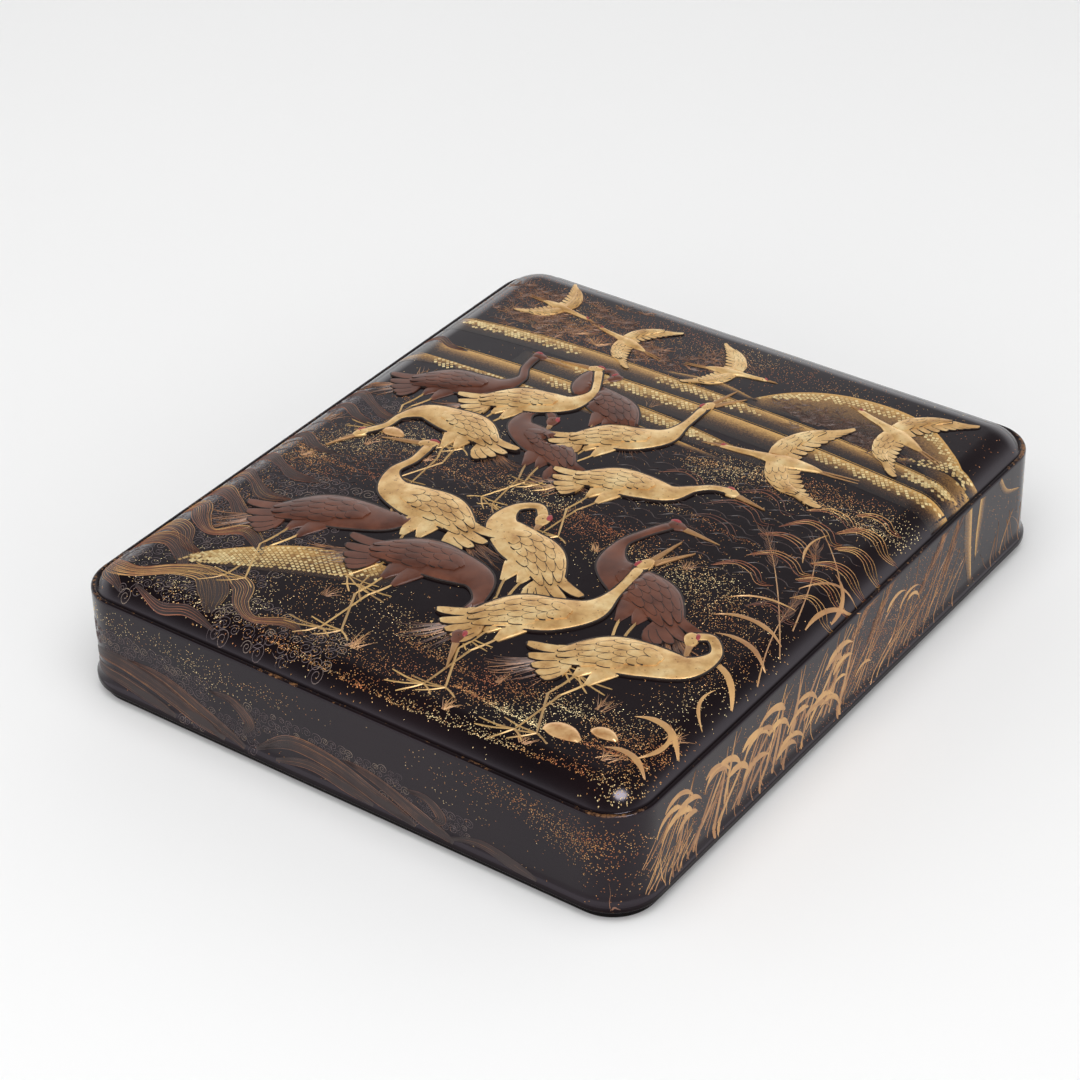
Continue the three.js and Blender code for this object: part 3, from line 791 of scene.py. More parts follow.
def standingCrane(x, y, facing, tilt, pose, layer, finish, length, front):
    # A figure drawn in body lengths facing right, then placed. One pillow runs from head to rump, over a
    # wider dark one that shows as its outline; thighs, wing, quills and skull lie on it, and the legs stay
    # upright whatever the tilt. What the figures in front cover is sunk.
    own = standingCranes
    at = (x * halfWidth, y * halfDepth)
    place, upright = placer(at, length, facing, tilt), placer(at, length, facing)
    press = pressUnder(front)
    neck, bills = neckPoses[pose]
    line, widths = spineOf(pose)
    rim = own["rimHeight"] + own["layerStep"] * layer
    top = [own["bodyHeight"] * (w / max(widths)) ** 0.4 for w in widths]

    def pillow(points, widths, rows, columns, top, rim=rim, kind=0, wider=0.0, way=place):
        # A ribbon given in body lengths
        widths = [w * length + wider for w in widths]
        return ribbonPart(way(points), widths, rows, columns, top, rim=rim, kind=kind, press=press)

    def wingSurface(s, t):
        # The wing's ribbon: it rides on the body's height, never under a low one, and swells to its middle
        flat = ribbonAt(*figure["wing"], s, t)
        away, share = nearestOn(line, widths, flat)
        body = np.interp(share, np.linspace(0, 1, len(top)), top) * bulge(np.minimum(away, 1))
        return flat, rim + np.maximum(body, 0.32) + own["wingHeight"] * bulge(np.clip(t, -1, 1), 3)

    body = pillow(line, widths, *own["bodyGrid"], top)
    edging = pillow(line, widths, *own["outlineGrid"], [0.04, 0.04], rim + 0.26, 1, own["outline"])
    parts = {finish: [body, edging], "bill": [], "crown": [], "leg": [], "hair": []}
    for hip, reach in figure["thighs"]:
        parts[finish].append(pillow([(hip, -0.06), (hip - 0.02, -0.2), (hip - 0.05, -0.08 - reach)],
                                    figure["thigh"], 18, 9, [0.5, 0.5, 0.3], rim * 0.8, way=upright))

    # Short feathers in rows down the wing, and long quills fanned behind it
    rows = own["featherRows"]
    feathers = np.array([  # start, place across, length, half width, order
        (0.02 + 0.135 * row + 0.015 * (k % 2),
         (k + 0.5) / count * 1.84 - 0.92 + (0.12 if row % 2 else -0.12) * (count > 3),
         0.27, 1.1 / count, len(rows) - row)
        for row, count in enumerate(rows) for k in range(count)])
    parts[finish].append(featherPart(place, wingSurface, *feathers.T, press))
    k = np.arange(own["quills"])
    base = np.stack([-0.28 - 0.02 * k, -0.005 - 0.055 * k], axis=-1)
    parts[finish].append(quillPart(place, base, np.radians(196 + 12.5 * k), 0.5 - 0.055 * k, 0.055,
                                   rim + 0.5 - 0.05 * k, 1.5 + 0.5 * (len(k) - k), press))

    # Skull, bill, crown and eye, placed along the bill and at right angles to it
    head = np.array(neck[-1], float)
    beak = np.array(bills[0]) / np.linalg.norm(bills[0])
    over = sidewaysOf(beak)
    over *= np.sign(over[1] + 1e-6)
    skull = [head + beak * step for step in (-0.06, -0.005, 0.06, 0.12)]
    parts[finish].append(pillow(skull, figure["skull"], 16, 9, [0.5, 0.62, 0.5, 0.3]))
    for tip in np.array(bills):
        side = sidewaysOf(tip) / np.linalg.norm(tip) * 0.004
        for sign in (-1, 1):
            stroke = [head + tip * 0.2 + side * sign * 2.4, head + tip * 0.6 + side * sign, head + tip]
            parts["bill"].append(pillow(stroke, figure["bill"], 14, 5, [0.42, 0.32, 0.15], rim * 0.9))
    crown = [head + beak * u + over * v for u, v in ((-0.055, 0.03), (-0.005, 0.043), (0.05, 0.034))]
    eye = [head + beak * u + over * v for u, v in ((0.014, 0.004), (0.04, 0.002))]
    parts["crown"] += [pillow(crown, figure["crown"], 9, 7, [0.5, 0.6, 0.5], rim + 0.1),
                       pillow(eye, figure["eye"], 5, 5, [0.62, 0.62], rim + 0.16, 1)]

    # Legs of two strokes each, with toes that fan from the foot
    strokes = []
    sway = np.random.default_rng(int(1000 * (x + 2) + 77 * (y + 2)))
    for hip, knee, foot in np.array(figure["legs"]):
        strokes.append([hip - (0.01, 0), (hip + knee) / 2 + 0.004, knee])
        strokes.append([knee, (knee + foot) / 2, foot])
        for angle, reach in figure["toes"]:
            a = math.radians(angle + sway.uniform(-6, 6))
            mid = foot + 0.5 * reach * np.array([math.cos(a + 0.05), math.sin(a + 0.05) * 0.85])
            end = foot + reach * np.array([math.cos(a - 0.05), math.sin(a - 0.05) * 0.85])
            strokes.append([foot, mid, end])
    share = np.linspace(0, 1, 12)
    lines = upright(np.stack([curveAt(stroke, share)[0] for stroke in strokes]))
    half = np.array(([0.0145, 0.0125] + [0.01] * 4) * 2)[:, None] * length
    half = half * np.interp(share, [0, 0.1, 0.85, 1], [1.25, 0.95, 0.9, 0.55])
    lift = np.array(([0.3, 0.28] + [0.24] * 4) * 2)[:, None]
    parts["leg"].append(strokesPart(lines, half, lift, press=press, tone=sway.uniform(0.3, 1, len(lines))))

    # Hairs that hang from under the wing, and lean further back towards the tail
    count = own["hairs"]
    start = np.linspace(0, 1, count)
    base = np.stack([-0.3 - 0.3 * start, -0.14 - 0.12 * start + 0.02 * sway.uniform(-1, 1, count)], axis=-1)
    heading = np.radians(-112 - 38 * start + sway.uniform(-9, 9, count))
    reach = sway.uniform(0.3, 0.5, count) * (0.8 + 0.35 * np.sin(start * math.pi))
    lines = place(sweeps(base, heading, reach, sway.uniform(-0.5, 0.15, count) * 1.4))
    half, lift = 0.0095 * length * taper(9, 1, 0.12), 0.26 - 0.1 * np.linspace(0, 1, 9)
    parts["hair"].append(strokesPart(lines, half, lift, press=press, tone=sway.uniform(0, 1, count)))
    # Outlines of body, wing, tail and skull, under which the figures behind are sunk
    shapes = ((line, widths, own["outline"]), (*figure["wing"], 0), (*figure["tail"], 0),
              (skull, figure["skull"], 0))
    outlines = [outlineOf(place(points), [w * length + wider for w in widths])
                for points, widths, wider in shapes]
    return parts, outlines


def standingFlocks():
    # The nearest figures first, so that each one behind is sunk where their outlines cover it
    own = standingCranes
    birds = [(0, *bird, own["farLength"]) for bird in own["far"]]
    birds += [(1, *bird, own["nearLength"]) for bird in own["near"]]
    gathered = {kind: [] for kind in ("gold", "brown", "bill", "crown", "leg", "hair")}
    front = []
    for _, *bird in sorted(birds, key=lambda b: (b[0], b[6], -b[2]), reverse=True):
        parts, outlines = standingCrane(*bird, front)
        front = front + outlines
        for kind in parts:
            gathered[kind] += parts[kind]
    makePiece("goldCranes", gathered["gold"], ["burnishedGold", "darkDrawnLine"])
    makePiece("brownCranes", gathered["brown"], ["brownRelief", "darkDrawnLine"])
    makePiece("craneBills", gathered["bill"], ["paleGoldBill"])
    makePiece("craneCrowns", gathered["crown"], ["vermilionCrown", "darkDrawnLine"])
    makePiece("craneLegs", gathered["leg"], ["drawnGoldLine"])
    makePiece("cranePlumes", gathered["hair"], ["plumeHair"])
    return front


craneOutlines = standingFlocks()


# Cranes in the air

flyingCranes = {
    "length": 22,
    "quills": 10,
    "places": [  # x, y, facing, tilt, size
        (-0.68, 0.78, 1, -12, 0.72),
        (-0.36, 0.72, -1, 8, 0.8),
        (0.02, 0.74, 1, 6, 0.78),
        (0.45, 0.43, -1, -14, 1.25),
        (0.66, 0.72, -1, 14, 1.1),
    ],
    "wings": [  # line in body lengths, headings of its first and last quill
        ([(0.12, 0.04), (0.08, 0.34), (-0.08, 0.62), (-0.3, 0.82)], (205, 148)),
        ([(0.1, -0.02), (0, -0.28), (-0.16, -0.5), (-0.4, -0.62)], (168, 206)),
    ],
    "wingWidths": [0.1, 0.13, 0.1, 0.04],
    "body": ([(0.8, 0.07), (0.55, 0.05), (0.3, 0.04), (0, 0), (-0.28, -0.02), (-0.5, -0.05)],
             [0.03, 0.045, 0.06, 0.13, 0.08, 0.02]),
    "bill": ([(0.8, 0.07), (0.92, 0.075), (1.04, 0.07)], [0.024, 0.014, 0.004]),
    "crown": ([(0.72, 0.085), (0.77, 0.092), (0.81, 0.085)], [0.014, 0.022, 0.01]),
}


def flyingCrane(x, y, facing, tilt, size):
    # A figure with both wings up: two arched ribbons with a fan of quills and rows of short feathers, a
    # pillow from head to tail, trailing legs, bill and crown
    own = flyingCranes
    length, count = own["length"] * size, own["quills"]
    place = placer((x * halfWidth, y * halfDepth), length, facing, tilt)

    def pillow(line, widths, rows, columns, top, rim):
        # A ribbon given in body lengths
        return ribbonPart(place(line), [w * length for w in widths], rows, columns, top, rim=rim)

    body = []
    for line, headings in own["wings"]:
        def surface(s, t, line=line):
            # The wing's ribbon, with a bulge across it
            flat = ribbonAt(line, own["wingWidths"], s * np.ones(t.shape), t)
            return flat, 0.3 + 0.5 * bulge(np.clip(t, -1, 1))

        base = curveAt(line, np.linspace(0.12, 0.98, count))[0]
        fan, reach = np.radians(np.linspace(*headings, count)), np.linspace(0.3, 0.36, count)
        body.append(quillPart(place, base, fan, reach, 0.052, np.full(count, 0.42), np.linspace(1, 4, count)))
        body.append(pillow(line, own["wingWidths"], 26, 9, [0.5, 0.6, 0.5, 0.3], 0.24))
        starts, across = np.repeat([0.06, 0.26, 0.46, 0.66], 3), np.tile([-0.6, 0.0, 0.6], 4)
        body.append(featherPart(place, surface, starts, across, np.full(12, 0.3), np.full(12, 0.4),
                                np.tile([1.0, 2.0, 3.0], 4)))
    body.append(pillow(*own["body"], 40, 9, [0.5, 0.5, 0.6, 0.9, 0.7, 0.4], 0.2))
    bill = [pillow([(-0.4, -0.04 + rise), (-0.65, -0.07 + rise * 2), (-0.95, -0.09 + rise * 2.4)],
                   [0.014, 0.011, 0.006], 10, 5, [0.3, 0.3, 0.2], 0.1) for rise in (0.012, -0.012)]
    bill.append(pillow(*own["bill"], 9, 5, [0.5, 0.4, 0.2], 0.12))
    return {"body": body, "bill": bill, "crown": [pillow(*own["crown"], 7, 7, [0.6, 0.7, 0.6], 0.2)]}


def flyingFlock():
    # Every flying figure, gathered into one piece for each finish
    flock = [flyingCrane(*bird) for bird in flyingCranes["places"]]
    for name, kind, materials in (("flyingCranes", "body", ["burnishedGold", "darkDrawnLine"]),
                                  ("flyingBills", "bill", ["paleGoldBill"]),
                                  ("flyingCrowns", "crown", ["vermilionCrown"])):
        makePiece(name, [part for bird in flock for part in bird[kind]], materials)


flyingFlock()


# Fine marks

def fleckPart(at, reach, height, tone, sheet=onTop):
    # Sprinkled flakes: each a three-sided pyramid turned at random, its foot just under the surface
    count = len(at)
    angle = rng.uniform(0, 2 * math.pi, count)[:, None] + np.radians([0, 120, 240])
    corners = at[:, None] + reach[:, None, None] * np.stack([np.cos(angle), np.sin(angle)], axis=-1)
    flat = np.concatenate([corners, at[:, None]], axis=1)
    foot = -letIn["flake"]
    lift = np.array([foot, foot, foot, height]) * np.ones((count, 1))
    faces = np.array([[0, 1, 3], [1, 2, 3], [2, 0, 3], [2, 1, 0]])
    return {
        "points": sheet(flat[..., 0], flat[..., 1], lift).reshape(-1, 3),
        "quads": np.zeros((0, 4), int),
        "quadKinds": np.zeros(0, int),
        "caps": (4 * np.arange(count)[:, None, None] + faces).reshape(-1, 3),
        "capKinds": np.zeros(4 * count, int),
        "tones": np.repeat(np.clip(tone, 0, 1), 4),
    }


def tilePart(at, along, reach, height, tone):
    # Cut squares of gold leaf on the top: four corners, each reach along and across from the middle
    s = np.array([-1, 1])[None, :, None, None]
    t = np.array([-1, -0.98, 0.98, 1])[None, None, :, None]
    flat = at[:, None, None] + reach * (along[:, None, None] * s + sidewaysOf(along)[:, None, None] * t)
    lift = np.array([-letIn["flake"], height, height, -letIn["flake"]]) * np.ones((len(at), 2, 1))
    return gridPart(flat, lift, onTop, 0, tone[:, None, None])


def clear(at, outlines, edge=3.0):
    # Whether each point lies on the lid's top, in from its edge, and inside none of the outlines
    keep = insetOf(at[:, 0], at[:, 1]) > edge
    for outline in outlines:
        keep &= ~insideOf(outline, at)
    return keep


def dustPatch(x, y, reachX, reachY, turn, count):
    # Flakes spread normally about a middle, by reachX and reachY, and turned
    spread = rng.normal(0, 1, (count, 2)) * (reachX, reachY)
    return spread @ turnBy(turn) + (x, y)


def dustAlong(line, depth, count, side):
    # Flakes under a ridge line: evenly along it and thinning out exponentially to one side
    at, along = curveAt(line, rng.uniform(0, 1, count))
    away = side * rng.exponential(depth, count) + rng.normal(0, 0.25, count)
    return at + sidewaysOf(along) * away[:, None]


topDust = {
    "patches": [  # x, y, reach across, reach along, turn, count
        (-76, -16, 13, 7, 10, 950), (-84, -33, 10, 5, 0, 600), (-60, 2, 12, 6, 20, 500),
        (-30, -6, 16, 3.4, 4, 600), (14, -13, 20, 5, 0, 800), (70, -24, 12, 7, -8, 900),
        (48, -18, 14, 4, 6, 500), (36, 34, 12, 5, -12, 500), (66, 43, 20, 4, 4, 900),
        (88, 38, 12, 3, -6, 350), (8, -88, 10, 5, 0, 420), (-30, -84, 15, 5, 8, 420),
        (62, -92, 22, 5, 3, 900), (90, -60, 6, 14, 0, 500), (92, -95, 8, 6, 0, 420),
        (-62, 92, 15, 8, -12, 1200), (-34, 98, 16, 6, 6, 800), (2, 98, 10, 4, 0, 400),
        (-20, 82, 14, 3, 0, 300), (60, 92, 24, 4, -20, 300), (-86, -58, 8, 9, 0, 260),
        (-66, -74, 16, 8, 0, 300), (-48, -100, 20, 6, 0, 420), (0, -106, 24, 4, 0, 500),
        (-88, 98, 12, 8, 0, 700), (-50, 84, 26, 4, 0, 800), (20, 102, 34, 4, 0, 500),
        (40, 46, 30, 3, 0, 500), (97, -111, 5, 4, 0, 260), (-76, -110, 16, 5, -4, 260),
        (-44, -113, 18, 3, -4, 260), (-86, -52, 9, 12, 0, 220), (-92, -20, 8, 8, 0, 500),
        (20, -20, 26, 8, 0, 500), (84, -36, 14, 8, 0, 500), (40, -104, 40, 5, 0, 900),
    ],
    "lines": [  # ridge line, depth, count, side
        ([(-100, -23), (-70, -27), (-40, -24), (-10, -27)], 2.2, 800, -1),
        ([(-60, -8), (-30, -12), (6, -9), (30, -12)], 1.6, 650, -1),
        ([(30, -102), (60, -104), (98, -101)], 1.3, 950, 1),
        ([(-30, -114), (10, -116), (50, -115), (92, -113)], 1.2, 900, 1),
        ([(0, -92), (30, -96), (62, -93), (100, -96)], 1.8, 600, 1),
        ([(20, 38), (50, 42), (98, 36)], 2.4, 650, -1),
        ([(-96, 20), (-60, 16), (-30, 20)], 2.0, 350, -1),
        ([(14, 8), (40, 11), (60, 8), (92, 12)], 1.4, 350, -1),
    ],
    "scattered": 2200,
    "height": 0.08,
}


def topSprinkling():
    # Patches, lines and a thin even scatter of flakes. Their tone wanders with slow noise, and they are
    # larger and paler over the foam at the front, and darker at the left and the back.
    at = [dustPatch(*patch) for patch in topDust["patches"]] + [dustAlong(*line) for line in topDust["lines"]]
    at.append(rng.uniform((-halfWidth, -halfDepth), (halfWidth, halfDepth), (topDust["scattered"], 2)))
    at = np.concatenate(at)
    at = at[clear(at, craneOutlines)]
    x, y = at.T
    pale = 0.5 + 0.8 * (smoothNoise(x, y, 45, 8) - 0.5) + rng.normal(0, 0.2, len(at))
    foam = np.exp(-((x + 60) ** 2 / 1400 + (y + 108) ** 2 / 160))
    pale += 0.5 * foam
    pale -= 0.35 * np.exp(-((x + 84) ** 2 + (y + 26) ** 2) / 900) + 0.3 * (y > 76)
    part = fleckPart(at, rng.uniform(0.2, 0.37, len(at)) * (1 + 0.3 * foam), topDust["height"], pale)
    makePiece("goldDust", [part], ["sprinkledGoldFlake"], sharp=20)


topSprinkling()


# Gold bands, hill and sandbank

def bandPart(line, widths, rows, tones, fadeStart, fadeEnd, sheet=onTop):
    # Flat ribbon whose tone runs across it as listed and falls evenly to nothing at its two ends
    columns = len(tones)
    s = np.linspace(0, 1, rows)[:, None] * np.ones(columns + 2)
    t = np.concatenate([[-1], np.linspace(-1, 1, columns), [1]])[None] * np.ones((rows, 1))
    flat = ribbonAt(line, widths, s, t)
    if sheet is onTop:
        edge = halfWidth - domeEdge - 0.15
        flat[..., 0] = np.clip(flat[..., 0], -edge, edge)
    height = np.full(s.shape, bands["height"])
    height[:, 0] = height[:, -1] = -letIn["line"]
    across = np.interp(t, np.linspace(-1, 1, columns), tones)
    for way, fade in ((s, fadeStart), (1 - s, fadeEnd)):
        if fade:
            across = across * np.clip(way / fade, 0, 1)
    return gridPart(flat[None], height[None], sheet, 0, across[None])


def squaresAlong(line, widths, fromShare, toShare, low, high, ragged=0.25):
    # A lattice of diamonds in a ribbon's own rows, every second row moved by half a pitch. Which ones stay
    # is random: fewer towards the lower edge and the ends.
    pitch = bands["pitch"]
    length = np.linalg.norm(np.diff(curveAt(line, np.linspace(0, 1, 60))[0], axis=0), axis=1).sum()
    count = int(length * (toShare - fromShare) / pitch)
    rows = max(int((high - low) * float(np.mean(widths)) / (pitch * 0.5)), 1)
    s, row = np.meshgrid(np.arange(count), np.arange(rows))
    share = fromShare + (s + 0.5 * (row % 2)) * pitch / length
    t = high - (row + 0.5) / rows * (high - low)
    ends = np.minimum(s, count - 1 - s) / (0.16 * count + 1)
    loss = ragged * (0.2 + 1.6 * row / rows) + np.maximum(0, 0.75 - ends) * 0.9
    keep = (rng.uniform(0, 1, share.shape) > loss) & (share <= 1)
    share, t = share[keep], t[keep]
    along = curveAt(line, share)[1]
    return ribbonAt(line, widths, share, t), (along + sidewaysOf(along)) * 0.7071


bands = {
    "pitch": 1.62,
    "tileReach": 0.48,
    "tileHeight": 0.11,
    "height": 0.05,
    "overline": (0.26, 0.1),  # half width and height of the line drawn over a band
    "ribbons": [  # line, half widths, tones from lower to upper edge, fades at its ends, spans of squares
        ([(-100, 67), (-60, 71), (0, 71.5), (60, 70), (103.4, 66)], [4.0, 4.6, 4.4, 4.2, 4.0],
         [0.0, 0.1, 0.26, 0.45, 0.7, 0.95], (0.05, 0.0), [(0.03, 0.32), (0.42, 0.62), (0.86, 1.0)]),
        ([(-64, 59.5), (-20, 60.5), (40, 60.5), (103.4, 57)], [4.2, 5.4, 5.4, 5.0],
         [0.0, 0.1, 0.26, 0.48, 0.76, 1.0], (0.14, 0.0), [(0.16, 0.52), (0.72, 1.0)]),
        ([(-96, 48.6), (-50, 49.6), (0, 49), (42, 47.5)], [4.4, 4.8, 4.8, 1.6],
         [0.0, 0.1, 0.26, 0.48, 0.76, 0.95], (0.05, 0.2), [(0.34, 0.9)]),
        ([(-98, 42.6), (-50, 43.2), (0, 42.6), (36, 41.6)], [1.6, 1.9, 1.6, 0.5],
         [0.2, 0.5, 0.9], (0.05, 0.2), [(0.06, 0.46)]),
    ],
    "ridges": [
        ([(18, 77), (32, 85), (48, 90), (68, 91), (85, 83), (103.2, 68)], [2.4, 8.4, 10.8, 9.8, 7.4, 5.6],
         [0.0, 0.16, 0.3, 0.4, 0.46, 0.56, 0.7, 0.98], (0.06, 0.0), [(0.05, 1.0)]),
        ([(74, 74), (90, 80), (103, 79)], [0.8, 3.0, 2.6], [0.0, 0.2, 0.5, 0.9], (0.1, 0.0), [(0.2, 1.0)]),
        ([(-18, 78), (2, 81), (20, 79.5)], [0.6, 2.0, 0.6], [0.0, 0.3, 0.8], (0.1, 0.1), []),
        ([(-104, 36), (-92, 41), (-78, 42)], [1.4, 2.2, 0.8], [0.2, 0.5, 0.8], (0.0, 0.2), []),
    ],
    "bank": ([(-84, -99), (-66, -87), (-44, -76), (-14, -69)], [0.8, 5.4, 7.4, 4.0],
             [0.1, 0.35, 0.55, 0.75, 0.92]),
}


def goldFields():
    # Bands and hills of faded gold with cut squares along them, the bank in front, and a line drawn over
    # each of the three long bands
    parts, squares = [], []
    for line, widths, tones, fades, spans in bands["ribbons"] + bands["ridges"]:
        parts.append(bandPart(line, widths, 150, tones, *fades))
        squares += [squaresAlong(line, widths, *span, 0.9 - 5.2 / max(widths), 0.88) for span in spans]
    line, widths, tones = bands["bank"]
    parts.append(bandPart(line, widths, 80, tones, 0.2, 0.12))
    squares.append(squaresAlong(line, widths, 0.06, 0.95, -0.75, 0.92, 0.08))
    tiles, directions = (np.concatenate(column) for column in zip(*squares))
    keep = clear(tiles, craneOutlines)
    tiles, directions = tiles[keep], directions[keep]
    way = np.linspace(0.02, 0.985, 110)
    lines = [ribbonAt(line, widths, way, np.full(110, 1.14)) for line, widths, *_ in bands["ribbons"][:3]]
    half, height = bands["overline"]
    parts.append(strokesPart(np.stack(lines), half * taper(110, 0.1, 0.6), height, tone=0.9))
    makePiece("goldBands", parts, ["fadedGold"])
    shades = rng.uniform(0, 1, len(tiles))
    makePiece("goldSquares", [tilePart(tiles, directions, bands["tileReach"], bands["tileHeight"], shades)],
              ["cutGoldSquare"], sharp=20)


goldFields()


# Waves

# A wave's own line, as a share of its length, from trough over the crest to the trough in front
waveLine = np.array([(-0.5, -0.1), (-0.22, 0.08), (0.08, 0.05), (0.3, -0.08), (0.5, -0.04)])

waves = {
    "bedHeight": 0.05,
    "combed": (0.18, 0.17),  # half width and height of each kind of line
    "ridge": (0.28, 0.14),
    "curl": (0.13, 0.12),
    "streams": [  # middle line, half widths along it, lines side by side, tone
        ([(-103, -38), (-96, -35), (-88, -38), (-80, -41), (-68, -39)], [0.8, 2.4, 1.6, 2.2, 0.3], 6, 0.15),
        ([(-103, -51), (-97, -47), (-90, -50), (-81, -55), (-70, -52)], [1.5, 3.0, 2.0, 2.8, 0.4], 8, 0.3),
        ([(-103, -63), (-96, -59), (-88, -62), (-78, -68), (-64, -64)], [1.5, 3.2, 2.2, 3.0, 0.5], 9, 0.35),
        ([(-103, -74), (-96, -70), (-90, -76), (-82, -80), (-74, -74), (-66, -77), (-59, -83)],
         [2.0, 3.6, 3.0, 1.6, 2.8, 2.4, 0.4], 10, 0.75),
        ([(-103, -87), (-97, -83), (-90, -84), (-84, -90), (-74, -92)], [1.5, 3.4, 3.2, 2.0, 0.4], 9, 0.6),
        ([(-104, -99), (-98, -93), (-90, -90), (-82, -94), (-77, -100)], [1.6, 3.4, 3.8, 3.2, 1.2], 10, 0.75),
        ([(-103, -106), (-95, -110), (-87, -109), (-78, -102), (-68, -99), (-60, -105), (-55, -113)],
         [1.6, 3.0, 2.4, 2.8, 4.4, 4.8, 1.6], 13, 0.9),
        ([(-62, -95), (-54, -98), (-49, -105), (-41, -109), (-31, -105), (-22, -107)],
         [2.2, 3.4, 2.6, 1.5, 1.9, 0.3], 9, 0.85),
        ([(-103, -98), (-101, -106), (-97, -112), (-88, -117)], [0.8, 2.0, 2.4, 0.6], 7, 0.5),
        ([(-84, -114), (-72, -117), (-62, -115), (-50, -117)], [0.5, 1.3, 1.6, 0.4], 5, 0.2),
        ([(-102, -22), (-94, -19), (-86, -23), (-74, -24)], [0.8, 1.8, 1.8, 0.3], 5, 0.12),
        ([(-102, 9), (-95, 12), (-87, 8), (-78, 4), (-68, 6)], [0.8, 1.9, 1.4, 1.8, 0.3], 6, 0.2),
        ([(-102, 0), (-94, 3), (-86, -1), (-74, -3)], [0.8, 1.8, 1.6, 0.3], 5, 0.15),
        ([(-102, 54), (-95, 56), (-88, 53), (-80, 53)], [0.6, 1.4, 1.2, 0.3], 4, 0.2),
    ],
    "bundles": [  # x, y, length, tilt, lines side by side, tone
        (92, 31, 22, 6, 4, 0.85), (95, 21, 20, -2, 4, 0.95), (94, 11, 22, 4, 4, 0.95),
        (94, 1, 20, 2, 4, 0.9), (96, -8, 16, 0, 3, 0.8), (78, 35, 22, 2, 3, 0.6), (77, 25, 24, 4, 3, 0.7),
        (74, 15, 24, 0, 3, 0.6), (77, 5, 24, 4, 3, 0.7), (70, -6, 22, 2, 3, 0.4), (56, 31, 24, -2, 2, 0.3),
        (52, 21, 26, 3, 2, 0.3), (50, 10, 26, 0, 2, 0.35), (44, 1, 24, 3, 2, 0.2), (28, 27, 22, 0, 2, 0.15),
        (26, 14, 24, 2, 2, 0.15), (88, -18, 18, 4, 3, 0.4), (90, 41, 18, 2, 3, 0.6),
    ],
    "ridges": [  # low and high corners of a stretch of dark wave lines, spacing across and along, length
        ((10, -10), (98, 40), 18, 3.1, 13), ((-100, -34), (-62, -6), 17, 3.4, 13),
        ((-66, -24), (-10, -12), 17, 3.4, 13),
    ],
    "curls": [  # low and high corners of a stretch of foam curls, radius, tone
        ((-101, -119), (-50, -36), 2.1, 0.35), ((-50, -118), (-8, -100), 2.3, 0.5),
        ((-101, -2), (-72, 12), 1.6, 0.25),
    ],
}


def streamParts(line, widths, count, tone, sheet=onTop, rows=34):
    # A flat brown bed and the lines combed along it. They spread where the stream is wide, each starts and
    # ends a little before or after its neighbours, and they are palest where the stream is widest.
    bed = ribbonPart(line, widths, rows, 7, [waves["bedHeight"]] * 2, sheet, 0.03, tone=0.3)
    start, end = rng.uniform(0, 0.1, (count, 1)), 1 - rng.uniform(0, 0.14, (count, 1))
    s = start + (end - start) * np.linspace(0, 1, rows)
    t = np.linspace(-0.95, 0.95, count)[:, None] + 0.05 * np.sin(s * 9 + rng.uniform(0, 6, (count, 1)))
    tones = tone + 0.4 * (halfWidthAt(widths, s) / max(widths) - 0.6) + rng.normal(0, 0.24, (count, 1))
    half, height = waves["combed"]
    combed = strokesPart(ribbonAt(line, widths, s, t), half * taper(rows, 0.4, 0.2), height, sheet,
                         tone=np.clip(tones, 0, 1))
    return bed, combed


def staggered(low, high, across, along, jitter):
    # Places in rows, every second row moved by half a step, each place shifted a little at random
    x, y = np.meshgrid(np.arange(low[0], high[0], across), np.arange(low[1], high[1], along))
    x = x + 0.5 * across * (np.arange(len(x)) % 2)[:, None]
    return np.stack([x, y], axis=-1).reshape(-1, 2) + rng.normal(0, jitter, (x.size, 2))


def curlGrid(low, high, radius):
    # Middles of foam curls, about a diameter apart
    step = 1.95 * radius
    return staggered(low, high, step, 0.86 * step, 0.2 * radius)


def curlLines(centre, radius, rows=24):
    # Spirals that wind inwards through nearly two turns from the left, now and then the other way about
    count, way = len(centre), np.linspace(0, 1, rows)
    size = radius * rng.uniform(0.65, 1.2, (count, 1)) * (1.15 - way ** 0.9)
    spin = np.where(rng.uniform(0, 1, (count, 1)) < 0.15, 1, -1)
    angle = 3.5 + rng.uniform(-0.7, 0.7, (count, 1)) + spin * way * 3.7 * math.pi
    return centre[:, None] + size[..., None] * np.stack([np.cos(angle), np.sin(angle)], axis=-1)


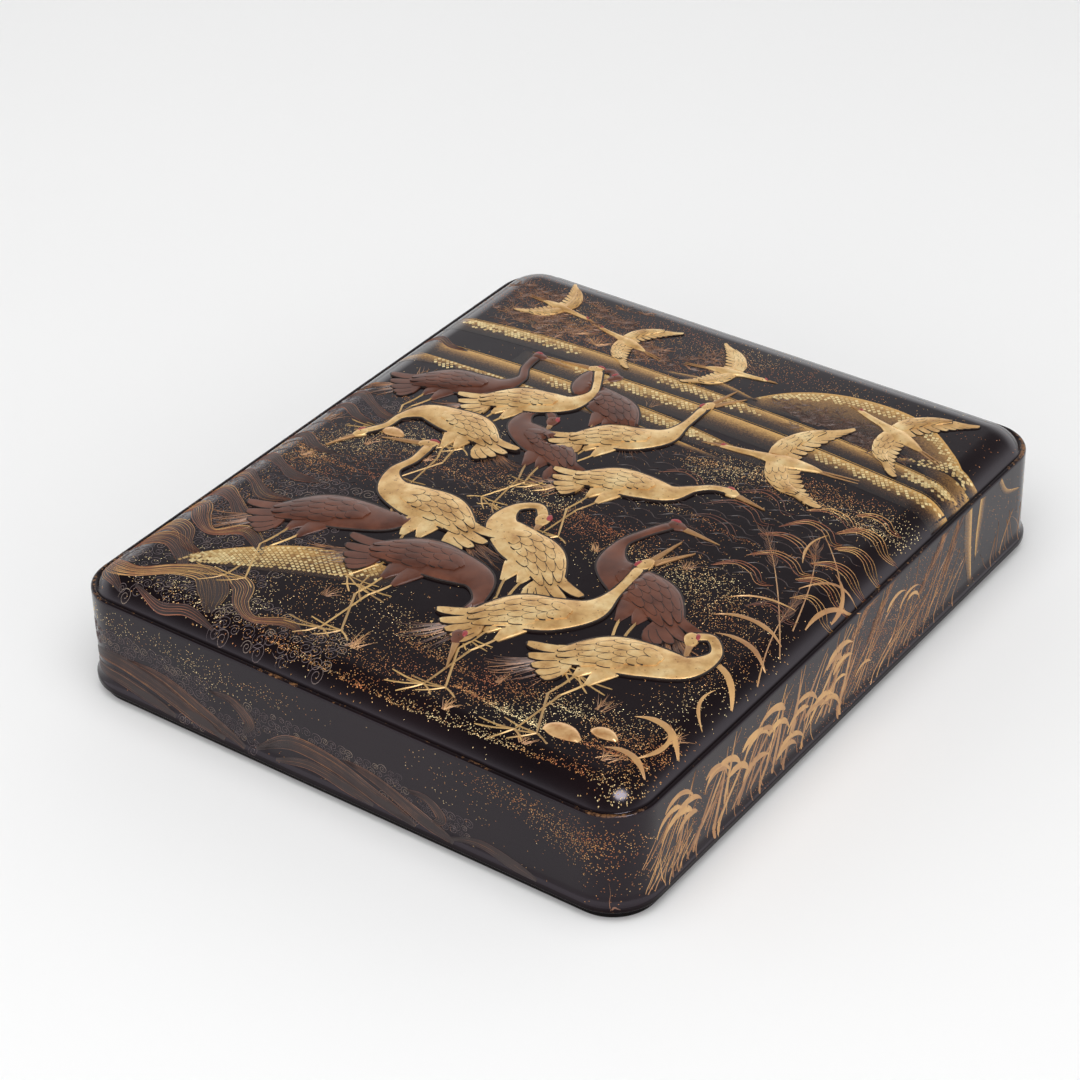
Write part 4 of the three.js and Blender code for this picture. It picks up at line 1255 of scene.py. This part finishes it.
def topWaves():
    # Streams at the left and front, bundles of lines between the reeds, dark single lines elsewhere, and
    # foam where none of the streams or figures lies
    bank = outlineOf(*bands["bank"][:2])
    taken = craneOutlines + [bank]
    press = pressUnder(taken)
    swells, lines = [], []
    for line, widths, count, tone in waves["streams"]:
        bed, combed = streamParts(line, widths, count, tone)
        swells.append(bed)
        lines.append(combed)
        taken = taken + [outlineOf(line, widths)]
    for x, y, length, tilt, count, tone in waves["bundles"]:
        line = placer((x, y), length, 1, tilt)(waveLine * (1, rng.uniform(1.0, 1.7)))
        lines.append(streamParts(line, [0.2, 0.42 * count, 0.46 * count, 0.2], count, tone, rows=24)[1])
    ridges = []
    for low, high, across, along, length in waves["ridges"]:
        for at in staggered(low, high, across, along, 0.5):
            shape = placer(at, length * rng.uniform(0.75, 1.1), 1, rng.normal(2, 1.5))
            ridges.append(curveAt(shape(waveLine * (1, rng.uniform(0.9, 1.3))), np.linspace(0, 1, 22))[0])
    ridges = np.stack(ridges)
    ridges = ridges[clear(ridges[:, 0], []) & clear(ridges[:, -1], [])]
    half, height = waves["ridge"]
    swells.append(strokesPart(ridges, half * taper(22, 0.1, 0.1), height, press=press, tone=0.6))
    curls, tones = [], []
    for low, high, radius, tone in waves["curls"]:
        centre = curlGrid(low, high, radius)
        centre = centre[clear(centre, taken, 4)]
        curls.append(curlLines(centre, radius))
        tones.append(np.clip(tone + rng.normal(0, 0.25, len(centre)), 0, 1))
    half, height = waves["curl"]
    foam = strokesPart(np.concatenate(curls), half * taper(24, 0.6, 0.6), height, press=press,
                       tone=np.concatenate(tones))
    makePiece("waveSwells", swells, ["waveReliefBrown"])
    makePiece("waveLines", lines, ["combedWaveLine"])
    makePiece("foamCurls", [foam], ["greyFoamLine"])


topWaves()


# Plants and rocks on the top

plants = {
    "grass": (0.2, 0.1),  # half width and height of each kind of stroke
    "reed": (0.28, 0.16),
    "hair": (0.2, 0.12),
    "spray": (0.22, 0.14),
    "leafHeight": 0.22,
    "tufts": [  # x, y, count, reach, spread of headings, tone
        (-6, -104, 16, 9, 70, 0.5), (34, -112, 14, 6, 80, 0.6), (62, -112, 12, 5, 90, 0.6),
        (86, -106, 14, 8, 80, 0.6), (96, -88, 12, 9, 70, 0.6), (54, -16, 12, 6, 70, 0.4),
        (-72, -14, 16, 8, 80, 0.4), (-86, -30, 14, 7, 80, 0.4), (-30, -88, 12, 6, 80, 0.3),
        (18, -86, 12, 7, 70, 0.4), (-58, 82, 26, 9, 110, 0.4), (-74, 84, 24, 9, 100, 0.3),
        (-84, 82, 18, 8, 110, 0.4), (-46, 80, 22, 7, 110, 0.5), (-40, 88, 16, 8, 90, 0.4),
        (-84, 30, 12, 8, 60, 0.3), (-8, 56, 8, 5, 60, 0.3), (72, -88, 12, 8, 60, 0.4),
        (40, -94, 10, 6, 70, 0.4), (-50, -12, 12, 6, 80, 0.3), (26, -24, 12, 6, 70, 0.4),
        (-94, -8, 12, 8, 60, 0.3),
    ],
    "reeds": [  # stem start, heading, length, curl
        (100, -34, 122, 62, 0.18), (97, -22, 106, 46, 0.3), (101, -48, 112, 40, -0.3),
        (100, 2, 128, 34, 0.2),
    ],
    "leaves": [  # start, heading, length, curl, half width
        (98, -30, 150, 26, 0.6, 1.1), (99, -18, 98, 24, -0.5, 0.9), (100, -42, 142, 22, 0.5, 1.2),
        (88, -4, 66, 20, -0.7, 0.7), (93, -14, 172, 22, 0.5, 0.6), (101, -62, 118, 24, 0.6, 1.5),
        (101, -90, 128, 22, 0.7, 1.6), (93, -100, 60, 20, 0.6, 0.9), (99, -104, 138, 18, 0.6, 1.4),
        (82, 8, 120, 18, -0.5, 0.6), (100, -76, 140, 18, -0.6, 0.7), (102, -8, 92, 20, 0.5, 0.8),
    ],
    "foliage": [  # x, y, reach across, reach along, number of sprays
        (46, 80, 14, 5, 56), (66, 80, 12, 5, 48), (-66, 84, 14, 5, 44), (-30, 86, 13, 5, 44),
        (-84, 98, 8, 4, 24), (-6, 90, 7, 4, 20), (-78, 84, 8, 4, 24), (-54, 100, 14, 4, 30),
    ],
    "rocks": [(0.66, -0.84, 12.6), (0.76, -0.79, 9), (-0.66, -0.03, 9)],
}


def tuftLines(x, y, count, reach, spread, sway=0.35, rows=8):
    # A fan of grass blades from one root: headings spread evenly about upright, and each blade curls
    # outwards
    heading = np.radians(90 + rng.uniform(-0.5, 0.5, count) * spread)
    root = np.stack([x + rng.normal(0, 0.14 * reach, count), np.full(count, float(y))], axis=-1)
    curl = (heading - math.pi / 2) * 0.6 + rng.normal(0, sway, count)
    return sweeps(root, heading, reach * rng.uniform(0.55, 1.1, count), curl, rows)


def barbsAlong(stem, start, pairs, spread, reach, curl):
    # Hairs of a seed head: pairs of strokes from start to the end of a stem, one to each side, spread from
    # its direction and curling back to it
    at, along = curveAt(stem, np.repeat(np.linspace(start, 1, pairs), 2))
    side = np.where(np.arange(2 * pairs) % 2, 1, -1)
    heading = np.arctan2(along[:, 1], along[:, 0]) + side * rng.uniform(*spread, 2 * pairs)
    return sweeps(at, heading, rng.uniform(*reach, 2 * pairs), -side * curl, 7)


def topPlants():
    # Grass, reeds and their broad leaves, seed heads, sprays of dark foliage and three boulders
    press = pressUnder(craneOutlines)
    grass, tones = [], []
    for *tuft, tone in plants["tufts"]:
        grass.append(tuftLines(*tuft))
        tones.append(np.clip(tone + rng.normal(0, 0.22, len(grass[-1])), 0, 1))
    grass, tones = np.concatenate(grass), np.concatenate(tones)
    keep = clear(grass[:, -1], craneOutlines)
    half, height = plants["grass"]
    parts = [strokesPart(grass[keep], half * taper(8, 0.8, 0.15), height, press=press, tone=tones[keep])]
    x, y, heading, length, curl = np.array(plants["reeds"], float).T
    stems = sweeps(np.stack([x, y], axis=-1), np.radians(heading), length, curl, 40)
    half, height = plants["reed"]
    parts.append(strokesPart(stems, half * taper(40, 1, 0.4), height, press=press, tone=0.6))
    x, y, heading, length, curl, half = np.array(plants["leaves"], float).T
    leaves = sweeps(np.stack([x, y], axis=-1), np.radians(heading), length, curl * 2.2, 26)
    half = half[:, None] * np.interp(np.linspace(0, 1, 26), [0, 0.35, 0.75, 1], [0.25, 1, 0.8, 0.05])
    tones = rng.uniform(0.6, 1, len(leaves))
    parts.append(strokesPart(leaves, half, plants["leafHeight"], press=press, tone=tones))
    makePiece("reedsAndGrass", parts, ["reedGold"])

    heads = [barbsAlong(stem[26:], 0.05, 17, (0.35, 0.7), (3, 6.5), 0.5) for stem in stems[:3]]
    heads = np.concatenate(heads)
    sprays = []
    for x, y, reachX, reachY, count in plants["foliage"]:
        for at in rng.normal(0, 1, (count, 2)) * (reachX * 0.7, reachY * 0.8) + (x, y):
            sprays.append(tuftLines(*at, 9, 4.2, 170, 0.2, 7))
    sprays = np.concatenate(sprays)
    sprays = sprays[clear(sprays.mean(axis=1), craneOutlines)]
    sprayTones = rng.uniform(0, 0.5, len(sprays))
    sprayTones = sprayTones + 0.5 * (sprays[:, 0, 0] < 10) * rng.uniform(0, 1, len(sprays))
    headTones = rng.uniform(0.2, 0.9, len(heads))
    parts = []
    for lines, kind, start, tones in ((heads, "hair", 0.6, headTones), (sprays, "spray", 0.7, sprayTones)):
        half, height = plants[kind]
        parts.append(strokesPart(lines, half * taper(7, start, 0.3), height, tone=tones))
    makePiece("darkFoliage", parts, ["plumeHair"])
    rocks = []
    for x, y, length in plants["rocks"]:
        line = placer((x * halfWidth, y * halfDepth), length)([(-0.5, 0), (0, 0.08), (0.5, 0)])
        widths = [w * length for w in (0.08, 0.24, 0.26, 0.2, 0.06)]
        rocks.append(ribbonPart(line, widths, 26, 13, [0.5, 0.9, 0.9, 0.5], rim=0.1, tone=0.75))
    makePiece("shoreRocks", rocks, ["boulderGold"])


topPlants()


# Walls

walls = {
    "curl": (0.105, 0.1),  # half width and height of each kind of stroke
    "stem": (0.16, 0.1),
    "barb": (0.17, 0.11),
    "bladeHeight": 0.1,
    "droopHeight": 0.18,
    "crackHeight": 0.05,
    "streams": [  # side, line (along, height above the floor), half widths, lines side by side, tone
        (0, [(-106, 12), (-92, 17), (-76, 15), (-58, 9.5), (-44, 5.8)], [0.8, 2.4, 3.2, 2.8, 0.6], 10, 0.25),
        (0, [(-106, 8.5), (-92, 10.5), (-78, 8.5), (-64, 5.8)], [1.0, 2.2, 2.2, 0.5], 7, 0.17),
        (0, [(-84, 19.5), (-68, 17.5), (-52, 11), (-36, 5.8)], [0.3, 1.8, 2.6, 0.6], 8, 0.30),
        (0, [(-50, 21), (-41, 21.5), (-34, 16), (-37, 10.5)], [0.4, 1.6, 2.4, 0.5], 7, 0.23),
        (0, [(-32, 7), (-18, 15), (-2, 14.5), (14, 9.5), (30, 5.8)], [0.6, 2.6, 3.2, 2.6, 0.6], 10, 0.25),
        (0, [(-24, 6.4), (-11, 9.6), (3, 8), (14, 6)], [0.5, 1.8, 1.8, 0.4], 6, 0.17),
        (0, [(2, 18), (15, 15.5), (30, 9.5), (44, 5.8)], [0.3, 1.8, 2.4, 0.6], 8, 0.28),
        (0, [(26, 17), (34, 17), (39, 12), (35, 8)], [0.4, 1.3, 1.8, 0.4], 5, 0.20),
        (0, [(42, 6.4), (53, 9), (64, 7.4), (74, 5.8)], [0.4, 1.4, 1.6, 0.4], 5, 0.20),
        (3, [(-60, 7), (-42, 14), (-22, 12), (-4, 6)], [0.6, 2.8, 3.0, 0.6], 9, 0.17),
        (3, [(-44, 6), (-30, 9), (-14, 6)], [0.5, 1.6, 0.4], 5, 0.15),
        (3, [(-30, 16), (-14, 13), (4, 6)], [0.4, 2.2, 0.6], 7, 0.23),
        (3, [(66, 7), (82, 13.5), (98, 11), (112, 7)], [0.6, 2.8, 2.8, 0.6], 9, 0.20),
        (2, [(-70, 7), (-52, 13), (-34, 11), (-14, 6)], [0.6, 2.6, 2.8, 0.6], 8, 0.15),
        (2, [(-40, 14.5), (-24, 12), (-6, 6)], [0.4, 2.2, 0.6], 7, 0.20),
    ],
    "curls": [  # side, low and high corners, radius, tone
        (0, (-102, 20), (-64, 27), 1.7, 0.45), (0, (-66, 15), (-50, 25), 1.7, 0.45),
        (0, (-34, 16), (4, 24), 1.7, 0.45), (0, (4, 18), (24, 22), 1.6, 0.4),
        (0, (16, 9), (30, 18), 1.5, 0.4), (0, (-62, 6), (-30, 15), 1.5, 0.35),
        (0, (30, 7), (50, 15), 1.5, 0.35), (3, (-56, 16), (-6, 23), 1.6, 0.4),
        (3, (74, 16), (106, 22), 1.6, 0.4), (2, (-64, 15), (-24, 21), 1.6, 0.4),
    ],
    "dust": [  # side, along, up, reach along, reach up, turn, count, tone
        (0, -82, 31, 15, 2.6, 0, 170, 0.8), (0, -52, 26, 12, 3.6, -20, 220, 0.85),
        (0, -30, 30, 12, 2.6, 0, 120, 0.6), (0, 44, 24, 10, 4.6, -14, 90, 0.6),
        (0, 70, 31, 15, 3.6, -12, 520, 0.35), (0, 92, 27, 8, 5, 0, 460, 0.3),
        (0, 10, 8, 60, 2, 0, 120, 0.4), (1, -80, 22, 28, 9, 0, 620, 0.3), (1, -20, 22, 30, 8, 0, 700, 0.25),
        (1, -60, 14, 40, 5, 0, 700, 0.05), (1, 10, 16, 12, 8, 40, 700, 0.05),
        (1, 40, 14, 10, 7, 40, 500, 0.0), (1, 30, 24, 22, 6, 30, 620, 0.3),
        (1, 58, 18, 14, 6, 20, 420, 0.3), (1, 96, 22, 14, 8, 0, 160, 0.4), (2, 0, 22, 60, 8, 0, 420, 0.45),
        (3, 20, 24, 60, 7, 0, 420, 0.45), (3, -80, 22, 24, 8, 0, 220, 0.4),
    ],
    "blades": [  # side, from, to, count, heights of the roots, headings, lengths, curl, half width, tone
        (1, -100, -6, 34, (5, 14), (38, 76), (18, 44), 0.1, 1.1, 0.55),
        (1, -104, -20, 16, (5, 9), (62, 112), (12, 26), 0.2, 0.36, 0.4),
        (1, -113, -95, 30, (5, 22), (36, 66), (8, 17), 0.1, 0.26, 0.6),
        (1, -14, 64, 34, (5, 12), (30, 80), (14, 34), 0.3, 0.24, 0.35),
        (1, 84, 112, 10, (5, 8), (60, 120), (8, 18), 0.3, 0.24, 0.35),
        (2, -10, 70, 24, (5, 9), (55, 125), (8, 20), 0.4, 0.26, 0.35),
        (3, 8, 60, 22, (5, 9), (55, 125), (8, 20), 0.4, 0.26, 0.35),
    ],
    "droops": [  # side, from, to, count, lowest and highest start, length, half width
        (1, -104, -4, 26, (10, 31), 17, 1.7),
        (1, -6, 40, 5, (12, 28), 14, 1.0),
    ],
    "plumes": [  # side, along, up, heading, length, curl
        (1, -30, 7, 34, 52, 0.16), (1, -8, 6, 40, 44, 0.2), (1, 22, 6, 38, 46, 0.12),
        (1, 44, 6, 46, 36, 0.3),
    ],
    "bands": [  # side, line, widths, tones across
        (1, [(72, 36.6), (73, 22), (76, 6)], [2.4, 2.2, 1.0], [0.3, 0.5, 0.95]),
        (1, [(82, 36.6), (80, 24), (79, 14)], [2.0, 1.6, 0.5], [0.95, 0.5, 0.2]),
        (1, [(93, 36.6), (98, 30), (108, 26)], [1.2, 1.0, 0.4], [0.2, 0.5, 0.8]),
    ],
    "crack": [[(98.2, 4.6), (97.8, 7), (98.1, 10), (97.7, 14)], [(98.3, 5.1), (99.4, 5.5), (100.8, 4.9)]],
    "crackWidths": [0.14, 0.5],
    "room": {  # lowest height, and distance kept below the ridge
        "dust": (5.6, 1.6),
        "blades": (0, 1.1),
        "droops": (5, 1.2),
        "stems": (0, 1.4),
        "barbs": (5, 1.1),
    },
}
sheets = [onWall(side) for side in range(4)]


def spacedAlong(low, high, count):
    # Places from low to high, one at random in each of count equal steps
    return low + (high - low) * (np.arange(count) + rng.uniform(0, 1, count)) / count


def keptIn(paths, kind):
    # Paths with their heights held between the lip's flare and the bead
    low, below = walls["room"][kind]
    paths[..., 1] = np.clip(paths[..., 1], low, ridge - below)
    return paths


def wallWaves():
    # Streams low on the walls, foam above and beside them, and a hairline crack with a chip by the near
    # corner
    swells, lines, foam = [], [], []
    taken = [[] for sheet in sheets]
    for side, line, widths, count, tone in walls["streams"]:
        bed, combed = streamParts(line, widths, count, tone, sheets[side])
        swells.append(bed)
        lines.append(combed)
        taken[side].append(outlineOf(line, widths))
    for side, low, high, radius, tone in walls["curls"]:
        centre = curlGrid(low, high, radius)
        for outline in taken[side]:
            centre = centre[~insideOf(outline, centre)]
        half, height = walls["curl"]
        foam.append(strokesPart(curlLines(centre, radius), half * taper(24, 0.6, 0.6), height, sheets[side],
                                tone=np.clip(tone + rng.normal(0, 0.25, len(centre)), 0, 1)))
    crack = np.stack([curveAt(path, np.linspace(0, 1, 16))[0] for path in walls["crack"]])
    half = np.array(walls["crackWidths"])[:, None] * taper(16, 0.9, 0.2)
    lines.append(strokesPart(crack, half, walls["crackHeight"], sheets[0], tone=np.array([0.6, 0.45])))
    makePiece("wallSwells", swells, ["waveReliefBrown"])
    makePiece("wallWaveLines", lines, ["dullWaveLine"])
    makePiece("wallFoam", foam, ["greyFoamLine"])


def wallSprinkling():
    # Patches of flakes, each cut off at the lip's flare and the bead
    dust = []
    low, below = walls["room"]["dust"]
    for side, *patch, tone in walls["dust"]:
        at = dustPatch(*patch)
        at = at[(at[:, 1] > low) & (at[:, 1] < ridge - below)]
        reach = rng.uniform(0.2, 0.36, len(at))
        pale = tone + rng.normal(0, 0.22, len(at))
        dust.append(fleckPart(at, reach, topDust["height"], pale, sheets[side]))
    makePiece("wallDust", dust, ["sprinkledGoldFlake"], sharp=20)


def wallPlants():
    # Blades no longer than the room above their roots, broad leaves that droop to either side, and reeds
    # with feathery heads
    grass, heads = [], []
    for side, low, high, count, roots, headings, reaches, curl, half, tone in walls["blades"]:
        root = np.stack([spacedAlong(low, high, count), rng.uniform(*roots, count)], axis=-1)
        heading = np.radians(rng.uniform(*headings, count))
        room = (ridge - 1.4 - root[:, 1]) / np.sin(heading)
        reach = np.minimum(rng.uniform(*reaches, count), room)
        paths = keptIn(sweeps(root, heading, reach, rng.normal(0, curl, count), 14), "blades")
        width = half * rng.uniform(0.6, 1.15, count)[:, None] * taper(14, 0.45, 0.08)
        tones = np.clip(tone + rng.normal(0, 0.2, count), 0, 1)
        grass.append(strokesPart(paths, width, walls["bladeHeight"], sheets[side], tone=tones))
    for side, low, high, count, starts, length, half in walls["droops"]:
        root = np.stack([spacedAlong(low, high, count), rng.uniform(*starts, count)], axis=-1)
        hand = np.where(rng.uniform(0, 1, count) < 0.7, -1, 1)
        heading = math.pi / 2 + hand * 0.7 + rng.normal(0, 0.2, count)
        reach = length * rng.uniform(0.7, 1.15, count)
        paths = keptIn(sweeps(root, heading, reach, hand * rng.uniform(1.5, 2.2, count), 20, 0.9), "droops")
        width = half * rng.uniform(0.7, 1.1, count)[:, None]
        width = width * np.interp(np.linspace(0, 1, 20), [0, 0.2, 0.6, 1], [0.3, 1, 0.85, 0.05])
        tones = rng.uniform(0.6, 1, count)
        grass.append(strokesPart(paths, width, walls["droopHeight"], sheets[side], tone=tones))
    for side, *reed in walls["plumes"]:
        along, up, heading, length, curl = np.array(reed, float)[:, None]
        stem = keptIn(sweeps(np.stack([along, up], axis=-1), np.radians(heading), length, curl, 40), "stems")
        half, height = walls["stem"]
        grass.append(strokesPart(stem, half * taper(40, 1, 0.5), height, sheets[side], tone=0.4))
        barbs = keptIn(barbsAlong(stem[0, 20:], 0.02, 26, (0.3, 0.7), (2.5, 6), 0.4), "barbs")
        half, height = walls["barb"]
        heads.append(strokesPart(barbs, half * taper(7, 0.6, 0.3), height, sheets[side],
                                 tone=rng.uniform(0.3, 1, len(barbs))))
    makePiece("wallReeds", grass, ["reedGold"])
    makePiece("wallPlumes", heads, ["plumeHair"])


def wallGilding():
    # The ends of the top's bands, carried down the wall
    parts = [bandPart(line, widths, 40, tones, 0, 0.1, sheets[side])
             for side, line, widths, tones in walls["bands"]]
    makePiece("wallBands", parts, ["fadedGold"])


wallWaves()
wallSprinkling()
wallPlants()
wallGilding()


# Scene

view = {
    "azimuth": 36.6,
    "elevation": 34.4,
    "roll": -1.6,
    "across": 10.8,
    "rise": -21.95,
    "distance": 999.4,
    "lens": 101.5,
}
studio = {
    "sky": [(0.0, 1.0), (0.32, 0.92), (0.46, 0.42), (0.58, 0.19), (0.8, 0.06)],  # brightness by height
    "skyStrength": 1.8,
    "lamps": [  # name, place in metres, size, watts, whether it shows in glosses, whether it lights surfaces
        ("overhead", (0.35, -0.5, 1.75), 2.4, 31, False, True),
        ("cornerLamp", (0.62, -0.25, 1.25), 0.56, 17, True, False),
    ],
    "floor": 4.0,
}


def lookFrom(azimuth, elevation, roll, across, rise, distance, lens):
    # Camera whose back direction is set by azimuth and elevation; right and up follow by cross products,
    # are turned by roll, and the camera is slid along them
    a, e, r = (math.radians(v) for v in (azimuth, elevation, roll))
    back = np.array([math.sin(a) * math.cos(e), -math.cos(a) * math.cos(e), math.sin(e)])
    right = np.array([math.cos(a), math.sin(a), 0])
    up = np.cross(back, right)
    right, up = right * math.cos(r) + up * math.sin(r), up * math.cos(r) - right * math.sin(r)
    data = bpy.data.cameras.new("camera")
    data.lens = lens
    data.sensor_width = 36
    data.clip_start = 0.01
    camera = bpy.data.objects.new("camera", data)
    matrix = np.eye(4)
    matrix[:3] = np.column_stack([right, up, back, (distance * back - across * right - rise * up) * mm])
    camera.matrix_world = Matrix(matrix)
    bpy.context.scene.collection.objects.link(camera)
    bpy.context.scene.camera = camera


def softLamp(name, where, size, power, glossy, diffuse):
    # Round area light turned to face the origin: tilted by its angle from straight down, then by its
    # azimuth
    data = bpy.data.lights.new(name, "AREA")
    data.shape = "DISK"
    data.size = size
    data.energy = power
    light = bpy.data.objects.new(name, data)
    light.location = where
    x, y, z = -np.array(where) / np.linalg.norm(where)
    light.rotation_euler = (math.atan2(math.hypot(x, y), -z), 0, math.atan2(y, x) - math.pi / 2)
    light.visible_glossy = glossy
    light.visible_diffuse = diffuse
    bpy.context.scene.collection.objects.link(light)


def palePaper(tree, place):
    # Backdrop paper: white and flat, its tone a little uneven
    return {"Base Color": mottled(tree, place, 900, [(0.3, "#efefef"), (0.7, "#f3f3f3")])}


def setStudio():
    # A sky that darkens with height, two lamps, and a square of paper under the box
    world = bpy.data.worlds.new("studio")
    world.use_nodes = True
    tree = world.node_tree
    direction = addNode(tree, "TexCoord", output="Generated")
    rise = addNode(tree, "SeparateXYZ", links={"Vector": direction}, output="Z")
    glow = addNode(tree, "ValToRGB", {"stops": studio["sky"]}, {"Fac": rise})
    tree.links.new(glow, tree.nodes["Background"].inputs["Color"])
    tree.nodes["Background"].inputs["Strength"].default_value = studio["skyStrength"]
    bpy.context.scene.world = world
    for lamp in studio["lamps"]:
        softLamp(*lamp)
    floor = bpy.data.meshes.new("floor")
    corners = studio["floor"] * np.array([(-1, -1, 0), (1, -1, 0), (1, 1, 0), (-1, 1, 0)])
    floor.from_pydata(corners.tolist(), [], [(0, 1, 2, 3)])
    floor.materials.append(makeMaterial("palePaper", {"Roughness": 0.9}, palePaper))
    piece = bpy.data.objects.new("floor", floor)
    bpy.context.scene.collection.objects.link(piece)


bpy.context.scene.view_settings.view_transform = "Standard"
lookFrom(**view)
setStudio()
print("studio ready")
